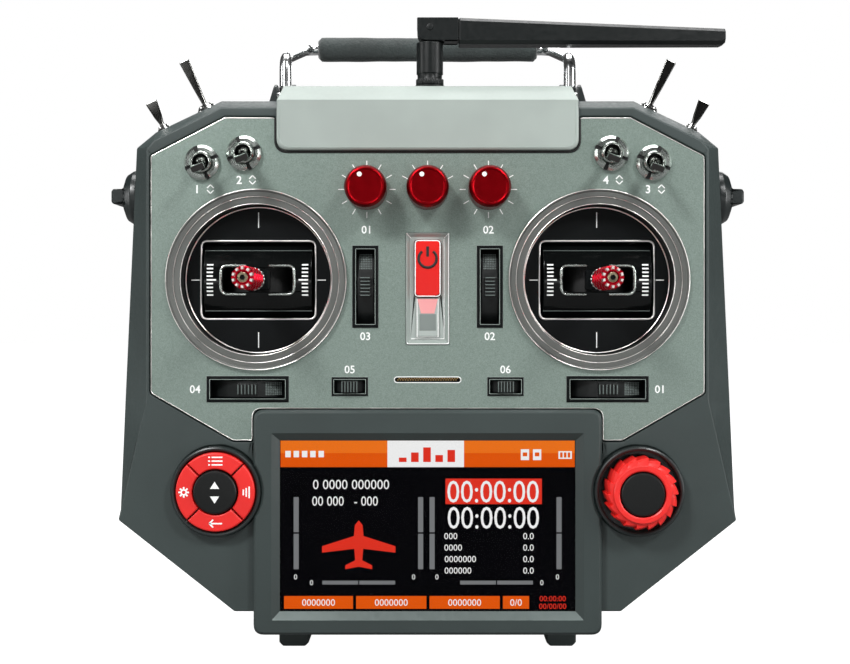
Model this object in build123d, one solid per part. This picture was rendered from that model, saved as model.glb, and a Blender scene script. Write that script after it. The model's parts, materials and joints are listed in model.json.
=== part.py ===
from build123d import *
import math
import os

# Radio transmitter controller, in millimetres. X runs right and Z up, from under the feet.
# "Depth" is Y before the last move: it runs back from the front of the faceplate, so a
# negative depth stands proud of the faceplate. export_nodes() then moves everything by
# -CENTRE_DEPTH, which centres the whole object on Y = 0.

# ---------------------------------------------------------------- driving dimensions
WALL = 2.4              # housing wall
FIT = 0.05              # radial clearance of a shaft in its bearing
SEAT = 0.1              # gap round a piece that sits in an opening
GAP = 0.3               # gap between pieces that move past each other

SHELL_FRONT = 0.5       # flat front of the front housing
PLATE = 1.5             # faceplate thickness
FRONT_WALL = 4.0        # back of the housing's front wall
SHELL_EDGE = 9.0        # where the front bevel reaches the full outline
PARTING = 20.0          # where the front and rear housings meet
REAR_SHOULDER = 34.0    # where the rear housing starts to taper
BACK = 50.0             # flat back of the rear housing

# Right-hand halves of the housing's outlines, as (x, z) from the top to the bottom.
FULL_HALF = [(66.0, 176.1), (87.0, 166.1), (93.2, 161.0), (96.8, 81.0),
             (98.5, 42.5), (61.0, 13.2), (54.0, 13.2), (52.0, 9.0)]
CREASE_HALF = [(64.8, 172.7), (86.0, 162.4), (88.2, 159.8), (88.2, 81.0),
               (96.9, 43.2), (60.6, 14.6), (54.0, 14.6), (51.6, 10.4)]
BACK_HALF = [(58.0, 169.0), (79.0, 158.0), (86.0, 152.0), (88.0, 81.0),
             (88.0, 50.0), (58.0, 20.0), (53.0, 20.0), (51.0, 14.0)]
PLATE_HALF = [(47.7, 159.2), (47.7, 169.5), (63.7, 169.5), (86.8, 157.5),
              (86.8, 83.2), (61.0, 68.3), (54.9, 68.3), (54.9, 78.3)]
PLATE_RADII = [4.0, 1.0, 1.0, 1.2, 1.6, 2.0, 0.8, 3.0]
GROOVE = 0.5            # dark groove round the faceplate
SHOULDER_TOP = FULL_HALF[0]
SHOULDER_END = FULL_HALF[1]

GIMBAL_X, GIMBAL_Z = 53.7, 118.7
GIMBAL_DEPTH = 18.0     # stick pivot
RING_RADIUS = 28.4
SLEEVE_RADIUS = 26.5
DISC_RADIUS = 23.1
DISC_DEPTH = 5.4
DISC_THICK = 2.0
WINDOW_WIDTH, WINDOW_HEIGHT = 35.4, 23.9
BARREL_RADIUS = 15.7
BARREL_BORE = 13.7
BARREL_HALF = 17.1
BARREL_ARC = 80.0       # degrees each side of straight ahead
SLOT_WIDTH, SLOT_HEIGHT = 21.9, 7.6
AXLE_RADIUS = 2.0
STICK_RADIUS = 1.9
STICK_END_RADIUS = 3.5
STICK_TIP = -31.0
STICK_END_BACK = -8.0
STICK_SCREW = 1.4       # threaded front of the stick
SCREW_FRONT = -27.0     # how far the thread reaches into the stick end
LOCKNUT_RADIUS = 3.3
SHUTTER_RADIUS = 12.3   # curved shutter behind the barrel's slot
STICK_PIN = 1.5

KNOB_SPACING = 19.06
KNOB_Z = 147.0
KNOB_RADIUS = 6.55
KNOB_FRONT = -12.0
KNOB_SHAFT = 3.0

# Face toggles: (x, z) of the right-hand pair. The left pair mirrors them.
FACE_TOGGLES = {"inner": (57.5, 158.2), "outer": (70.7, 155.3)}
FACE_TOGGLE_ROLL = 22.0     # how far each lever's width is turned from level
FACE_TOGGLE_TILT = 14.0     # rest position, thrown down
FACE_TOGGLE_LENGTH = 14.2
FACE_TOGGLE_PIVOT = -1.5
TOGGLE_NUT, TOGGLE_BUSHING = 5.5, 3.3
# Shoulder toggles: distance out from the centre, lever length, tip width, nut radius.
SHOULDER_TOGGLES = {"long": (71.2, 18.0, 3.5, 3.6), "short": (85.0, 10.6, 4.0, 2.7)}
SHOULDER_TOGGLE_DEPTH = 14.0

# Trims: centre x, centre z, opening length, opening width, frame border, turned upright.
TRIMS = {
    "upright": (19.5, 116.5, 23.4, 5.8, 1.2, True),
    "level": (56.4, 84.4, 23.4, 5.8, 1.2, False),
    "small": (24.4, 85.2, 9.7, 4.2, 0.85, False),
}
TRIM_PROUD = -0.6
TRIM_PIN = 1.0

SIDE_LEVER_DEPTH, SIDE_LEVER_Z = 24.0, 146.3
SIDE_LEVER_RADIUS = 9.0
SIDE_LEVER_INNER = 94.8
SIDE_LEVER_SHAFT = 2.5

POWER_Z, POWER_WIDTH, POWER_HEIGHT = 115.9, 13.7, 35.1
BUTTON_Z, BUTTON_WIDTH, BUTTON_HEIGHT = 122.2, 8.0, 17.6

SPEAKER_Z, SPEAKER_SLOT, SPEAKER_RADIUS = 87.3, 20.7, 8.6

BEZEL_HALF, BEZEL_LOW, BEZEL_HIGH = 54.3, 7.9, 78.0
BEZEL_FRONT, BEZEL_BACK = -3.0, 8.0
LENS_DEPTH = -1.2
VIEW_HALF, VIEW_LOW, VIEW_HIGH = 46.2, 15.1, 68.4
VIEW_BEVEL = 2.35
LENS_MARGIN, LENS_THICK = 3.0, 1.0

PAD_X, PAD_Z = 66.0, 52.6
COLLAR_RADIUS = 14.1
COLLAR_BORE = 12.6
COLLAR_FRONT = -3.2
PAD_FLOOR = 2.5
KEY_INNER, KEY_OUTER = 7.1, 12.3
CENTRE_RADIUS = 6.8

ANTENNA_X, ANTENNA_DEPTH = 0.7, 15.0
SOCKET_RADIUS = 3.2
BANNER_TOP = 180.8
SLEEVE_LOW, SLEEVE_HIGH, ANTENNA_SLEEVE = 185.7, 195.8, 4.32
ELBOW_Z = 200.4
BLADE_ROOT, BLADE_TIP = 10.0, 96.3
BLADE_LOW, BLADE_HIGH, BLADE_TIP_HIGH = 195.0, 203.5, 200.2
FORK_HALF = 4.1         # half the width and depth of the elbow's fork
ELBOW_PIN = 1.1

HANDLE_DEPTH, HANDLE_Z = 24.0, 179.6
WIRE_RADIUS = 2.0
LEG_X, LEG_TOP = 47.2, 192.8
# Right-hand bracket seen from the front: its foot, its slope and its flat top.
BRACKET = [(43.6, 176.1), (52.3, 176.1), (52.3, 177.5), (50.5, 183.6), (43.6, 183.6)]
BRACKET_HALF_DEPTH = 3.8
GRIP_DEPTH, GRIP_Z, GRIP_RADIUS, GRIP_HALF = 65.0, 204.0, 4.4, 39.7

FOOT_X, FOOT_WIDTH, FOOT_FRONT, FOOT_BACK = 43.4, 9.7, 14.5, 44.0
FOOT_TOP = FULL_HALF[-1][1]

DOOR_HALF, DOOR_LOW, DOOR_HIGH, DOOR_THICK = 35.0, 25.0, 78.0, 2.0
DOOR_AXIS_DEPTH = BACK - DOOR_THICK / 2
DOOR_AXIS_Z = DOOR_LOW + GAP + DOOR_THICK / 2
COVER_HALF, COVER_LOW, COVER_HIGH = 30.0, 98.0, 152.0
PALM_X, PALM_Z, PALM_WIDTH, PALM_HEIGHT, PALM_BACK = 70.0, 88.0, 28.0, 84.0, 57.0
SCREWS = [(38.0, 160.0), (80.0, 143.0), (62.0, 31.0)]
SCREW_SHANK, SCREW_HEAD, SCREW_RECESS = 1.45, 2.8, 3.1
HEAD_DEPTH = 2.2
POST_RADIUS = 3.5
JACK_X, JACK_Z, JACK_RADIUS, JACK_LENGTH = 50.0, 148.0, 1.8, 14.0
JACK_BOSS = 4.2
HINGE_PIN = 0.6
COVER_RECESS = 1.2

CENTRE_DEPTH = (GRIP_DEPTH + GRIP_RADIUS + STICK_TIP) / 2
SIDES = {"left": -1, "right": 1}


# ---------------------------------------------------------------- helpers
def front_plane(depth):
    """The plane seen from the front at a depth, with local x = X and local y = Z."""
    return Plane.XZ.offset(-depth)


def slab(sketch, near, far):
    """A front-view sketch extruded between two depths."""
    return extrude(front_plane(far) * sketch, amount=far - near, dir=(0, -1, 0))


def bar_x(side_sketch, low, high):
    """A side-view sketch (local x = depth, local y = Z) extruded from left to right."""
    return extrude(Plane.YZ.offset(low) * side_sketch, amount=high - low, dir=(1, 0, 0))


def rod_y(x, z, radius, near, far):
    """A cylinder that runs front to back."""
    return slab(Pos(x, z) * Circle(radius), near, far)


def rod_x(depth, z, radius, low, high):
    """A cylinder that runs left to right."""
    return bar_x(Pos(depth, z) * Circle(radius), low, high)


def rod_z(x, depth, radius, low, high):
    """A cylinder that runs up."""
    return extrude(Plane.XY.offset(low) * Pos(x, depth) * Circle(radius), amount=high - low)


def block(x, depth, z):
    """A box from its (low, high) limits along each axis."""
    size = [high - low for low, high in (x, depth, z)]
    centre = [(high + low) / 2 for low, high in (x, depth, z)]
    return Pos(*centre) * Box(*size)


def mirrored(half):
    """A closed outline from its right-hand half."""
    return Polygon(*half, *[(-x, z) for x, z in reversed(half)], align=None)


def rounded(half, radii):
    """A closed outline with each corner of its right-hand half, and its mirror, rounded."""
    shape = mirrored(half)
    for (x, z), radius in zip(half, radii):
        corners = [v for v in shape.vertices() if math.hypot(abs(v.X) - x, v.Y - z) < 0.01]
        shape = fillet(corners, radius)
    return shape


def both_sides(piece):
    """A right-hand piece and its mirror image, as one group."""
    return [piece, mirror(piece, about=Plane.YZ)]


def put(piece, side, x, depth, z, roll=0.0, tilt=0.0):
    """Place a piece made at the origin, tilted about X, rolled about Y, on one side."""
    return Pos(side * x, depth, z) * Rot(Y=side * roll) * Rot(X=tilt) * piece


def shoulder_point(x):
    """Height of the sloping shoulder at a distance out from the centre."""
    (x0, z0), (x1, z1) = SHOULDER_TOP, SHOULDER_END
    return z0 + (z1 - z0) * (x - x0) / (x1 - x0)


def shoulder_angle():
    """Degrees that the shoulder's normal leans outward from straight up."""
    (x0, z0), (x1, z1) = SHOULDER_TOP, SHOULDER_END
    return math.degrees(math.atan2(z0 - z1, x1 - x0))


# ---------------------------------------------------------------- housings
def plate_outline(grow=0.0):
    """The faceplate's outline, or the pocket that it lies in."""
    shape = rounded(PLATE_HALF, PLATE_RADII)
    return offset(shape, amount=grow) if grow else shape


def trim_opening(kind, grow):
    """Front-view rectangle of a trim's frame on the right-hand side."""
    x, z, length, width, border, upright = TRIMS[kind]
    long_side = length + 2 * border + 2 * grow
    short_side = width + 2 * border + 2 * grow
    size = (short_side, long_side) if upright else (long_side, short_side)
    return Pos(x, z) * Rectangle(*size)


def trim_wells():
    """Room behind the faceplate for each trim's curved strip, which is longer than its frame."""
    overrun = 3.4
    tools = []
    for x, z, length, width, _, upright in TRIMS.values():
        long_half = length / 2 + overrun
        short_half = width / 2
        half_x, half_z = (short_half, long_half) if upright else (long_half, short_half)
        well = block((x - half_x, x + half_x), (PLATE, FRONT_WALL + 1), (z - half_z, z + half_z))
        tools += both_sides(well)
    return tools


def face_openings():
    """Everything that passes through both the faceplate and the housing's front wall."""
    tools = []
    for side in SIDES.values():
        tools.append(rod_y(side * GIMBAL_X, GIMBAL_Z, SLEEVE_RADIUS + SEAT, -1, PARTING))
        for x, z in FACE_TOGGLES.values():
            tools.append(rod_y(side * x, z, TOGGLE_BUSHING + SEAT, -1, FRONT_WALL + 1))
    for kind in TRIMS:
        tools += both_sides(slab(trim_opening(kind, SEAT), -1, FRONT_WALL + 1))
    power = RectangleRounded(POWER_WIDTH + 2 * SEAT, POWER_HEIGHT + 2 * SEAT, 0.8)
    tools.append(slab(Pos(0, POWER_Z) * power, -1, FRONT_WALL + 1))
    tools.append(slab(Pos(0, SPEAKER_Z) * SlotOverall(SPEAKER_SLOT, 1.6), -1, FRONT_WALL + 1))
    return tools


def front_housing():
    full = mirrored(FULL_HALF)
    crease = mirrored(CREASE_HALF)
    shell = loft([front_plane(SHELL_FRONT) * crease, front_plane(SHELL_EDGE) * full], ruled=True)
    shell += slab(full, SHELL_EDGE, PARTING)
    wide_from = SHELL_EDGE + 1.5
    shell -= slab(offset(crease, amount=-WALL, kind=Kind.INTERSECTION), FRONT_WALL, wide_from)
    shell -= slab(offset(full, amount=-WALL, kind=Kind.INTERSECTION), wide_from, PARTING)
    shell -= slab(plate_outline(GROOVE), 0, PLATE)
    bezel_half = BEZEL_HALF + SEAT
    shell -= block((-bezel_half, bezel_half), (-1, BEZEL_BACK), (0, BEZEL_HIGH + SEAT))
    for side in SIDES.values():
        shell -= rod_y(side * PAD_X, PAD_Z, COLLAR_RADIUS + SEAT, -1, FRONT_WALL + 1)
        for x, z in SCREWS:
            shell += rod_y(side * x, z, POST_RADIUS, FRONT_WALL, PARTING)
            shell -= rod_y(side * x, z, SCREW_SHANK + FIT, SHELL_EDGE, PARTING)
        for x, _, _, nut in SHOULDER_TOGGLES.values():
            hole = rod_z(0, 0, nut - 0.9, -5, 5)
            shell -= put(hole, side, x, SHOULDER_TOGGLE_DEPTH, shoulder_point(x), roll=shoulder_angle())
    for offset_x in (-KNOB_SPACING, 0, KNOB_SPACING):
        shell -= rod_y(offset_x, KNOB_Z, KNOB_SHAFT + FIT, 0, FRONT_WALL + 1)
    for tool in face_openings() + trim_wells():
        shell -= tool
    shell -= rod_z(ANTENNA_X, ANTENNA_DEPTH, SOCKET_RADIUS + SEAT, 165, 180)
    return [shell]


def faceplate():
    plate = slab(plate_outline(), 0, PLATE)
    for tool in face_openings():
        plate -= tool
    for offset_x in (-KNOB_SPACING, 0, KNOB_SPACING):
        plate -= rod_y(offset_x, KNOB_Z, KNOB_SHAFT + 0.4, -1, PLATE + 1)
    front = plate.faces().sort_by(Axis.Y)[0]
    return [chamfer(front.outer_wire().edges(), 0.3)]


def rear_housing():
    full = mirrored(FULL_HALF)
    back = mirrored(BACK_HALF)
    inset_full = offset(full, amount=-WALL, kind=Kind.INTERSECTION)
    inset_back = offset(back, amount=-WALL, kind=Kind.INTERSECTION)
    shell = slab(full, PARTING, REAR_SHOULDER)
    shell += loft([front_plane(REAR_SHOULDER) * full, front_plane(BACK) * back], ruled=True)
    shell -= slab(inset_full, PARTING, REAR_SHOULDER)
    cavity = [front_plane(REAR_SHOULDER) * inset_full, front_plane(BACK - WALL) * inset_back]
    shell -= loft(cavity, ruled=True)
    for side in SIDES.values():
        palm_outline = Pos(side * PALM_X, PALM_Z) * RectangleRounded(PALM_WIDTH, PALM_HEIGHT, 12)
        palm = slab(palm_outline, BACK - WALL, PALM_BACK)
        shell += fillet(palm.faces().sort_by(Axis.Y)[-1].edges(), 5.0)
        low, high = sorted((side * 80, side * 100))
        shell -= rod_x(SIDE_LEVER_DEPTH, SIDE_LEVER_Z, SIDE_LEVER_SHAFT + FIT, low, high)
        for x, z in SCREWS:
            shell += rod_y(side * x, z, POST_RADIUS, PARTING, BACK - WALL)
            shell -= rod_y(side * x, z, SCREW_SHANK + 0.15, PARTING, BACK)
            shell -= rod_y(side * x, z, SCREW_RECESS, BACK - HEAD_DEPTH, BACK)
    opening = block((-DOOR_HALF, DOOR_HALF), (BACK - WALL - 1, BACK + 1), (DOOR_LOW, DOOR_HIGH))
    shell -= opening
    for side in SIDES.values():
        end = side * DOOR_HALF
        shell -= rod_x(DOOR_AXIS_DEPTH, DOOR_AXIS_Z, HINGE_PIN + FIT, end - 2, end + 2)
    recess = RectangleRounded(2 * COVER_HALF, COVER_HIGH - COVER_LOW, 4)
    shell -= slab(Pos(0, (COVER_LOW + COVER_HIGH) / 2) * recess, BACK - COVER_RECESS, BACK)
    shell += rod_y(JACK_X, JACK_Z, JACK_BOSS, BACK - JACK_LENGTH - 1.5, BACK)
    shell -= rod_y(JACK_X, JACK_Z, JACK_RADIUS, BACK - JACK_LENGTH, BACK)
    return [shell]


def rubber_grips():
    margin = 11
    outline = RectangleRounded(PALM_WIDTH - margin, PALM_HEIGHT - margin, 6)
    pad = slab(Pos(PALM_X, PALM_Z) * outline, PALM_BACK, PALM_BACK + 1.2)
    return both_sides(fillet(pad.faces().sort_by(Axis.Y)[-1].edges(), 0.8))


def battery_door():
    half = DOOR_HALF - GAP
    pin_end = DOOR_HALF + 1.7
    door = block((-half, half), (BACK - DOOR_THICK, BACK), (DOOR_AXIS_Z, DOOR_HIGH - GAP))
    door += rod_x(DOOR_AXIS_DEPTH, DOOR_AXIS_Z, DOOR_THICK / 2, -half, half)
    door += rod_x(DOOR_AXIS_DEPTH, DOOR_AXIS_Z, HINGE_PIN, -pin_end, pin_end)
    for groove_z in (65.2, 67.6, 70.0):
        door -= block((-8, 8), (BACK - 0.6, BACK + 1), (groove_z, groove_z + 1.0))
    return [door]


def module_cover():
    outline = RectangleRounded(2 * (COVER_HALF - GAP), COVER_HIGH - COVER_LOW - 2 * GAP, 3.7)
    cover = slab(Pos(0, (COVER_LOW + COVER_HIGH) / 2) * outline, BACK - COVER_RECESS, BACK + 2.0)
    cover = chamfer(cover.faces().sort_by(Axis.Y)[-1].edges(), 0.8)
    for side in SIDES.values():
        cover -= slab(Pos(side * 24, COVER_HIGH - 8) * SlotOverall(7, 2.4), BACK + 1.0, BACK + 3)
    return [cover]


def housing_screws():
    screws = []
    for x, z in SCREWS:
        screw = rod_y(x, z, SCREW_SHANK, SHELL_EDGE + 1, BACK - HEAD_DEPTH)
        screw += rod_y(x, z, SCREW_HEAD, BACK - HEAD_DEPTH, BACK - 0.5)
        for turn in (0, 90):
            screw -= slab(Pos(x, z) * Rot(Z=turn) * Rectangle(SCREW_HEAD, 0.6), BACK - 1.5, BACK)
        screws += both_sides(screw)
    return screws


def feet():
    outline = Pos(FOOT_X, FOOT_TOP / 2) * Rectangle(FOOT_WIDTH, FOOT_TOP)
    low_corners = outline.vertices().group_by(Axis.Y)[0]
    foot = slab(chamfer(low_corners, 1.2), FOOT_FRONT, FOOT_BACK)
    return both_sides(foot)


# ---------------------------------------------------------------- top cover and display
def top_banner():
    side_view = [(-1.5, 159.2), (-1.5, 173.2), (-0.7, 174.9), (8.0, BANNER_TOP), (19.6, BANNER_TOP),
                 (19.6, 176.1), (SHELL_EDGE, 176.1), (SHELL_FRONT, 172.7), (SHELL_FRONT, 159.2)]
    front_view = rounded([(46.0, BANNER_TOP), (47.3, 174.0), (47.3, 159.2)], [1.2, 3.0, 3.8])
    cover = bar_x(Polygon(*side_view, align=None), -50, 50)
    cover &= slab(front_view, -3, 20)
    cover -= rod_z(ANTENNA_X, ANTENNA_DEPTH, SOCKET_RADIUS + SEAT, 170, 190)
    return [cover]


def view_outline(grow):
    """Front-view rectangle of the visible display, grown by a margin all round."""
    size = (2 * (VIEW_HALF + grow), VIEW_HIGH - VIEW_LOW + 2 * grow)
    return Pos(0, (VIEW_LOW + VIEW_HIGH) / 2) * Rectangle(*size)


def screen_bezel():
    width = 2 * BEZEL_HALF
    height = BEZEL_HIGH - BEZEL_LOW
    outline = Pos(0, (BEZEL_HIGH + BEZEL_LOW) / 2) * RectangleRounded(width, height, 3.2)
    frame = slab(outline, BEZEL_FRONT, BEZEL_BACK)
    frame = chamfer(frame.faces().sort_by(Axis.Y)[0].edges(), 0.9)
    outer = front_plane(BEZEL_FRONT) * view_outline(VIEW_BEVEL)
    inner = front_plane(LENS_DEPTH) * view_outline(0)
    frame -= loft([outer, inner], ruled=True)
    frame -= slab(view_outline(LENS_MARGIN), LENS_DEPTH, BEZEL_BACK)
    for side in SIDES.values():
        frame -= rod_y(side * PAD_X, PAD_Z, COLLAR_RADIUS + SEAT, BEZEL_FRONT - 1, BEZEL_BACK)
    return [frame]


def screen_lens():
    return [slab(view_outline(LENS_MARGIN - SEAT), LENS_DEPTH, LENS_DEPTH + LENS_THICK)]


def lcd_module():
    panel_front = LENS_DEPTH + LENS_THICK + 0.2
    return [slab(view_outline(LENS_MARGIN - 0.5), panel_front, panel_front + 4.0)]


# ---------------------------------------------------------------- gimbals
def gimbal_ring():
    """Half section (radius, depth) turned about the stick axis."""
    section = [(SLEEVE_RADIUS, 0), (RING_RADIUS, 0), (RING_RADIUS, -1.0), (RING_RADIUS - 0.3, -1.4),
               (RING_RADIUS - 0.9, -1.4), (RING_RADIUS - 1.3, -0.9), (26.2, -0.4), (25.8, -0.1),
               (24.1, 1.0), (23.6, 1.6), (23.6, DISC_DEPTH + DISC_THICK), (22.4, DISC_DEPTH + DISC_THICK),
               (22.4, 8.6), (SLEEVE_RADIUS, 8.6)]
    ring = revolve(Polygon(*section, align=None), axis=Axis.Y)
    return ring


def gimbal_rings():
    return [Pos(side * GIMBAL_X, 0, GIMBAL_Z) * gimbal_ring() for side in SIDES.values()]


def gimbal_frame():
    """Front disc with its window, and the two cheeks that carry the barrel's axle."""
    disc = rod_y(0, 0, DISC_RADIUS, DISC_DEPTH, DISC_DEPTH + DISC_THICK)
    disc -= slab(RectangleRounded(WINDOW_WIDTH, WINDOW_HEIGHT, 1.0), 0, 10)
    cheek_x = (BARREL_HALF + 0.9, BARREL_HALF + 3.5)
    for side in SIDES.values():
        x_low, x_high = sorted((side * cheek_x[0], side * cheek_x[1]))
        cheek = block((x_low, x_high), (DISC_DEPTH + DISC_THICK, GIMBAL_DEPTH + 6), (-7.0, 7.0))
        disc += cheek
        disc -= rod_x(GIMBAL_DEPTH, 0, AXLE_RADIUS + FIT, x_low - 1, x_high + 1)
    return disc


def gimbal_frames():
    return [Pos(side * GIMBAL_X, 0, GIMBAL_Z) * gimbal_frame() for side in SIDES.values()]


def gimbal_barrel():
    """Curved drum on an axle along X, with the slot for the stick and two plates for its pin."""
    arc_end = GIMBAL_DEPTH - BARREL_RADIUS * math.cos(math.radians(BARREL_ARC))
    drum = rod_x(GIMBAL_DEPTH, 0, BARREL_RADIUS, -BARREL_HALF, BARREL_HALF)
    drum -= rod_x(GIMBAL_DEPTH, 0, BARREL_BORE, -BARREL_HALF + 2, BARREL_HALF - 2)
    drum -= block((-30, 30), (arc_end, 50), (-30, 30))
    for side in SIDES.values():
        low, high = sorted((side * (BARREL_HALF - 2), side * BARREL_HALF))
        drum += rod_x(GIMBAL_DEPTH, 0, 5.0, low, high)
        low, high = sorted((side * BARREL_HALF, side * (BARREL_HALF + 3.4)))
        drum += rod_x(GIMBAL_DEPTH, 0, AXLE_RADIUS, low, high)
        z_low, z_high = sorted((side * 8.0, side * 9.5))
        drum += block((-4, 4), (6.6, GIMBAL_DEPTH + 3), (z_low, z_high))
    drum -= slab(RectangleRounded(SLOT_WIDTH, SLOT_HEIGHT, 1.6), 0, 8)
    drum -= rod_z(0, GIMBAL_DEPTH, STICK_PIN + FIT, -12, 12)
    return drum


def stick():
    """Stick with its locknut, its cross pin and the curved shutter that closes the slot."""
    half_height = 4.8
    half_angle = 62.0
    nut_front = STICK_END_BACK + 0.1
    nut_back = nut_front + 2.4
    shaft = rod_y(0, 0, STICK_RADIUS, nut_back, GIMBAL_DEPTH)
    shaft += rod_y(0, 0, STICK_SCREW, SCREW_FRONT, nut_back)
    shaft += rod_y(0, 0, LOCKNUT_RADIUS, nut_front, nut_back)
    hub = rod_z(0, GIMBAL_DEPTH, 3.4, -5.0, 5.0)
    hub += rod_z(0, GIMBAL_DEPTH, STICK_PIN, -9.5, 9.5)
    shutter = rod_z(0, GIMBAL_DEPTH, SHUTTER_RADIUS, -half_height, half_height)
    shutter -= rod_z(0, GIMBAL_DEPTH, SHUTTER_RADIUS - 1.2, -5, 5)
    shutter_end = GIMBAL_DEPTH - SHUTTER_RADIUS * math.cos(math.radians(half_angle))
    shutter -= block((-15, 15), (shutter_end, 40), (-6, 6))
    return shaft + hub + shutter


def stick_end():
    """Turned stick end: a collared body with ten prongs round a hex socket."""
    prongs = 10
    collar_pitch = 2.7
    collar_width = 1.5
    body_front = STICK_TIP + 1.5
    body = rod_y(0, 0, STICK_END_RADIUS - 0.3, body_front, STICK_END_BACK)
    for step in range(8):
        front = body_front + collar_pitch * step
        body += rod_y(0, 0, STICK_END_RADIUS, front, front + collar_width)
    for step in range(prongs):
        angle = 2 * math.pi * step / prongs
        body += rod_y(2.7 * math.cos(angle), 2.7 * math.sin(angle), 0.5, STICK_TIP, body_front + 0.5)
    body += rod_y(0, 0, 1.35, STICK_TIP + 0.6, body_front + 0.5)
    body -= slab(RegularPolygon(0.85, 6), STICK_TIP, body_front + 1.5)
    body -= rod_y(0, 0, STICK_SCREW + FIT, SCREW_FRONT - 0.2, STICK_END_BACK)
    return body


# ---------------------------------------------------------------- knobs and toggles
def knob(x):
    """Round knob with a bevelled rim on a plain shaft."""
    dish = KNOB_FRONT + 0.35
    under = -0.4
    section = [(0, dish), (5.0, dish), (5.3, KNOB_FRONT), (5.6, KNOB_FRONT),
               (KNOB_RADIUS, KNOB_FRONT + 1.4), (KNOB_RADIUS, under), (0, under)]
    top = Pos(x, 0, KNOB_Z) * revolve(Polygon(*section, align=None), axis=Axis.Y)
    return [top + rod_y(x, KNOB_Z, KNOB_SHAFT, under, FRONT_WALL + 5)]


def face_toggle_lever():
    """Flat bat lever pointing forward, with its pivot ball at the origin."""
    neck = rod_y(0, 0, 1.15, -4.2, 0)
    root = front_plane(-3.6) * Rectangle(2.6, 1.7)
    tip = front_plane(-FACE_TOGGLE_LENGTH) * Rectangle(4.2, 2.0)
    return Sphere(2.2) + neck + loft([root, tip], ruled=True)


def face_toggle_body():
    """Slotted nut, and the threaded bushing with its switch case behind the front wall."""
    nut = rod_y(0, 0, TOGGLE_NUT, -2.2, 0) - rod_y(0, 0, TOGGLE_BUSHING + FIT, -3, 1)
    nut = chamfer(nut.edges().filter_by(GeomType.CIRCLE).group_by(Axis.Y)[0], 0.5)
    for turn in (0, 90):
        nut -= Rot(Y=turn) * block((-6, 6), (-3, -1.2), (-0.6, 0.6))
    bushing = rod_y(0, 0, TOGGLE_BUSHING, -4.0, FRONT_WALL)
    bushing += block((-3.6, 3.6), (FRONT_WALL, 13), (-6, 6))
    bushing -= rod_y(0, 0, 2.55, -5, 3.0)
    return [nut, bushing]


def shoulder_toggle_lever(length, tip_width):
    """Flat bat lever pointing up, with its pivot ball at the origin."""
    neck = rod_z(0, 0, 0.9, 0, 3.2)
    root = Plane.XY.offset(2.4) * Rectangle(1.5, 1.5)
    tip = Plane.XY.offset(length) * Rectangle(tip_width, 1.9)
    return Sphere(1.35) + neck + loft([root, tip], ruled=True)


def shoulder_toggle_body(nut):
    """Round nut and bushing; the local origin is on the housing's surface."""
    ring = rod_z(0, 0, nut, 0, 1.4) - rod_z(0, 0, nut - 0.95, -1, 2)
    bushing = rod_z(0, 0, nut - 1.0, -9, 2.0) - rod_z(0, 0, 1.65, -2.0, 3)
    return [chamfer(ring.edges().filter_by(GeomType.CIRCLE).group_by(Axis.Z)[-1], 0.3), bushing]


def toggle_bushings():
    pieces = []
    for side in SIDES.values():
        for x, z in FACE_TOGGLES.values():
            pieces += [put(part, side, x, 0, z, roll=FACE_TOGGLE_ROLL) for part in face_toggle_body()]
        for x, _, _, nut in SHOULDER_TOGGLES.values():
            pieces += [put(part, side, x, SHOULDER_TOGGLE_DEPTH, shoulder_point(x), roll=shoulder_angle())
                       for part in shoulder_toggle_body(nut)]
    return pieces


def face_toggle(side, kind):
    x, z = FACE_TOGGLES[kind]
    lever = face_toggle_lever()
    return [put(lever, side, x, FACE_TOGGLE_PIVOT, z, roll=FACE_TOGGLE_ROLL, tilt=FACE_TOGGLE_TILT)]


def shoulder_toggle(side, kind):
    x, length, tip_width, _ = SHOULDER_TOGGLES[kind]
    lever = shoulder_toggle_lever(length, tip_width)
    return [put(lever, side, x, SHOULDER_TOGGLE_DEPTH, shoulder_point(x), roll=shoulder_angle())]


def side_lever(side):
    """Domed thumb disc with a raised bar, on a shaft through the housing's side."""
    inner = SIDE_LEVER_INNER
    profile = [(inner, 0), (inner, 8.7), (inner + 0.4, SIDE_LEVER_RADIUS), (inner + 2.2, SIDE_LEVER_RADIUS),
               (inner + 4.4, 7.6), (inner + 5.5, 4.8), (inner + 5.7, 0)]
    disc = revolve(Polygon(*profile, align=None), axis=Axis.X)
    bar = block((inner + 1, inner + 8.7), (-7.2, 7.2), (-2.45, 2.45))
    disc += chamfer(bar.faces().sort_by(Axis.X)[-1].edges(), 0.7)
    disc += rod_x(0, 0, SIDE_LEVER_SHAFT, inner - 8, inner)
    placed = Pos(0, SIDE_LEVER_DEPTH, SIDE_LEVER_Z) * disc
    return [placed if side > 0 else mirror(placed, about=Plane.YZ)]


# ---------------------------------------------------------------- trims
def trim_radius(kind):
    """Distance from a trim's curved face to its pivot."""
    return 20.0 if TRIMS[kind][2] > 15 else 10.0


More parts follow.
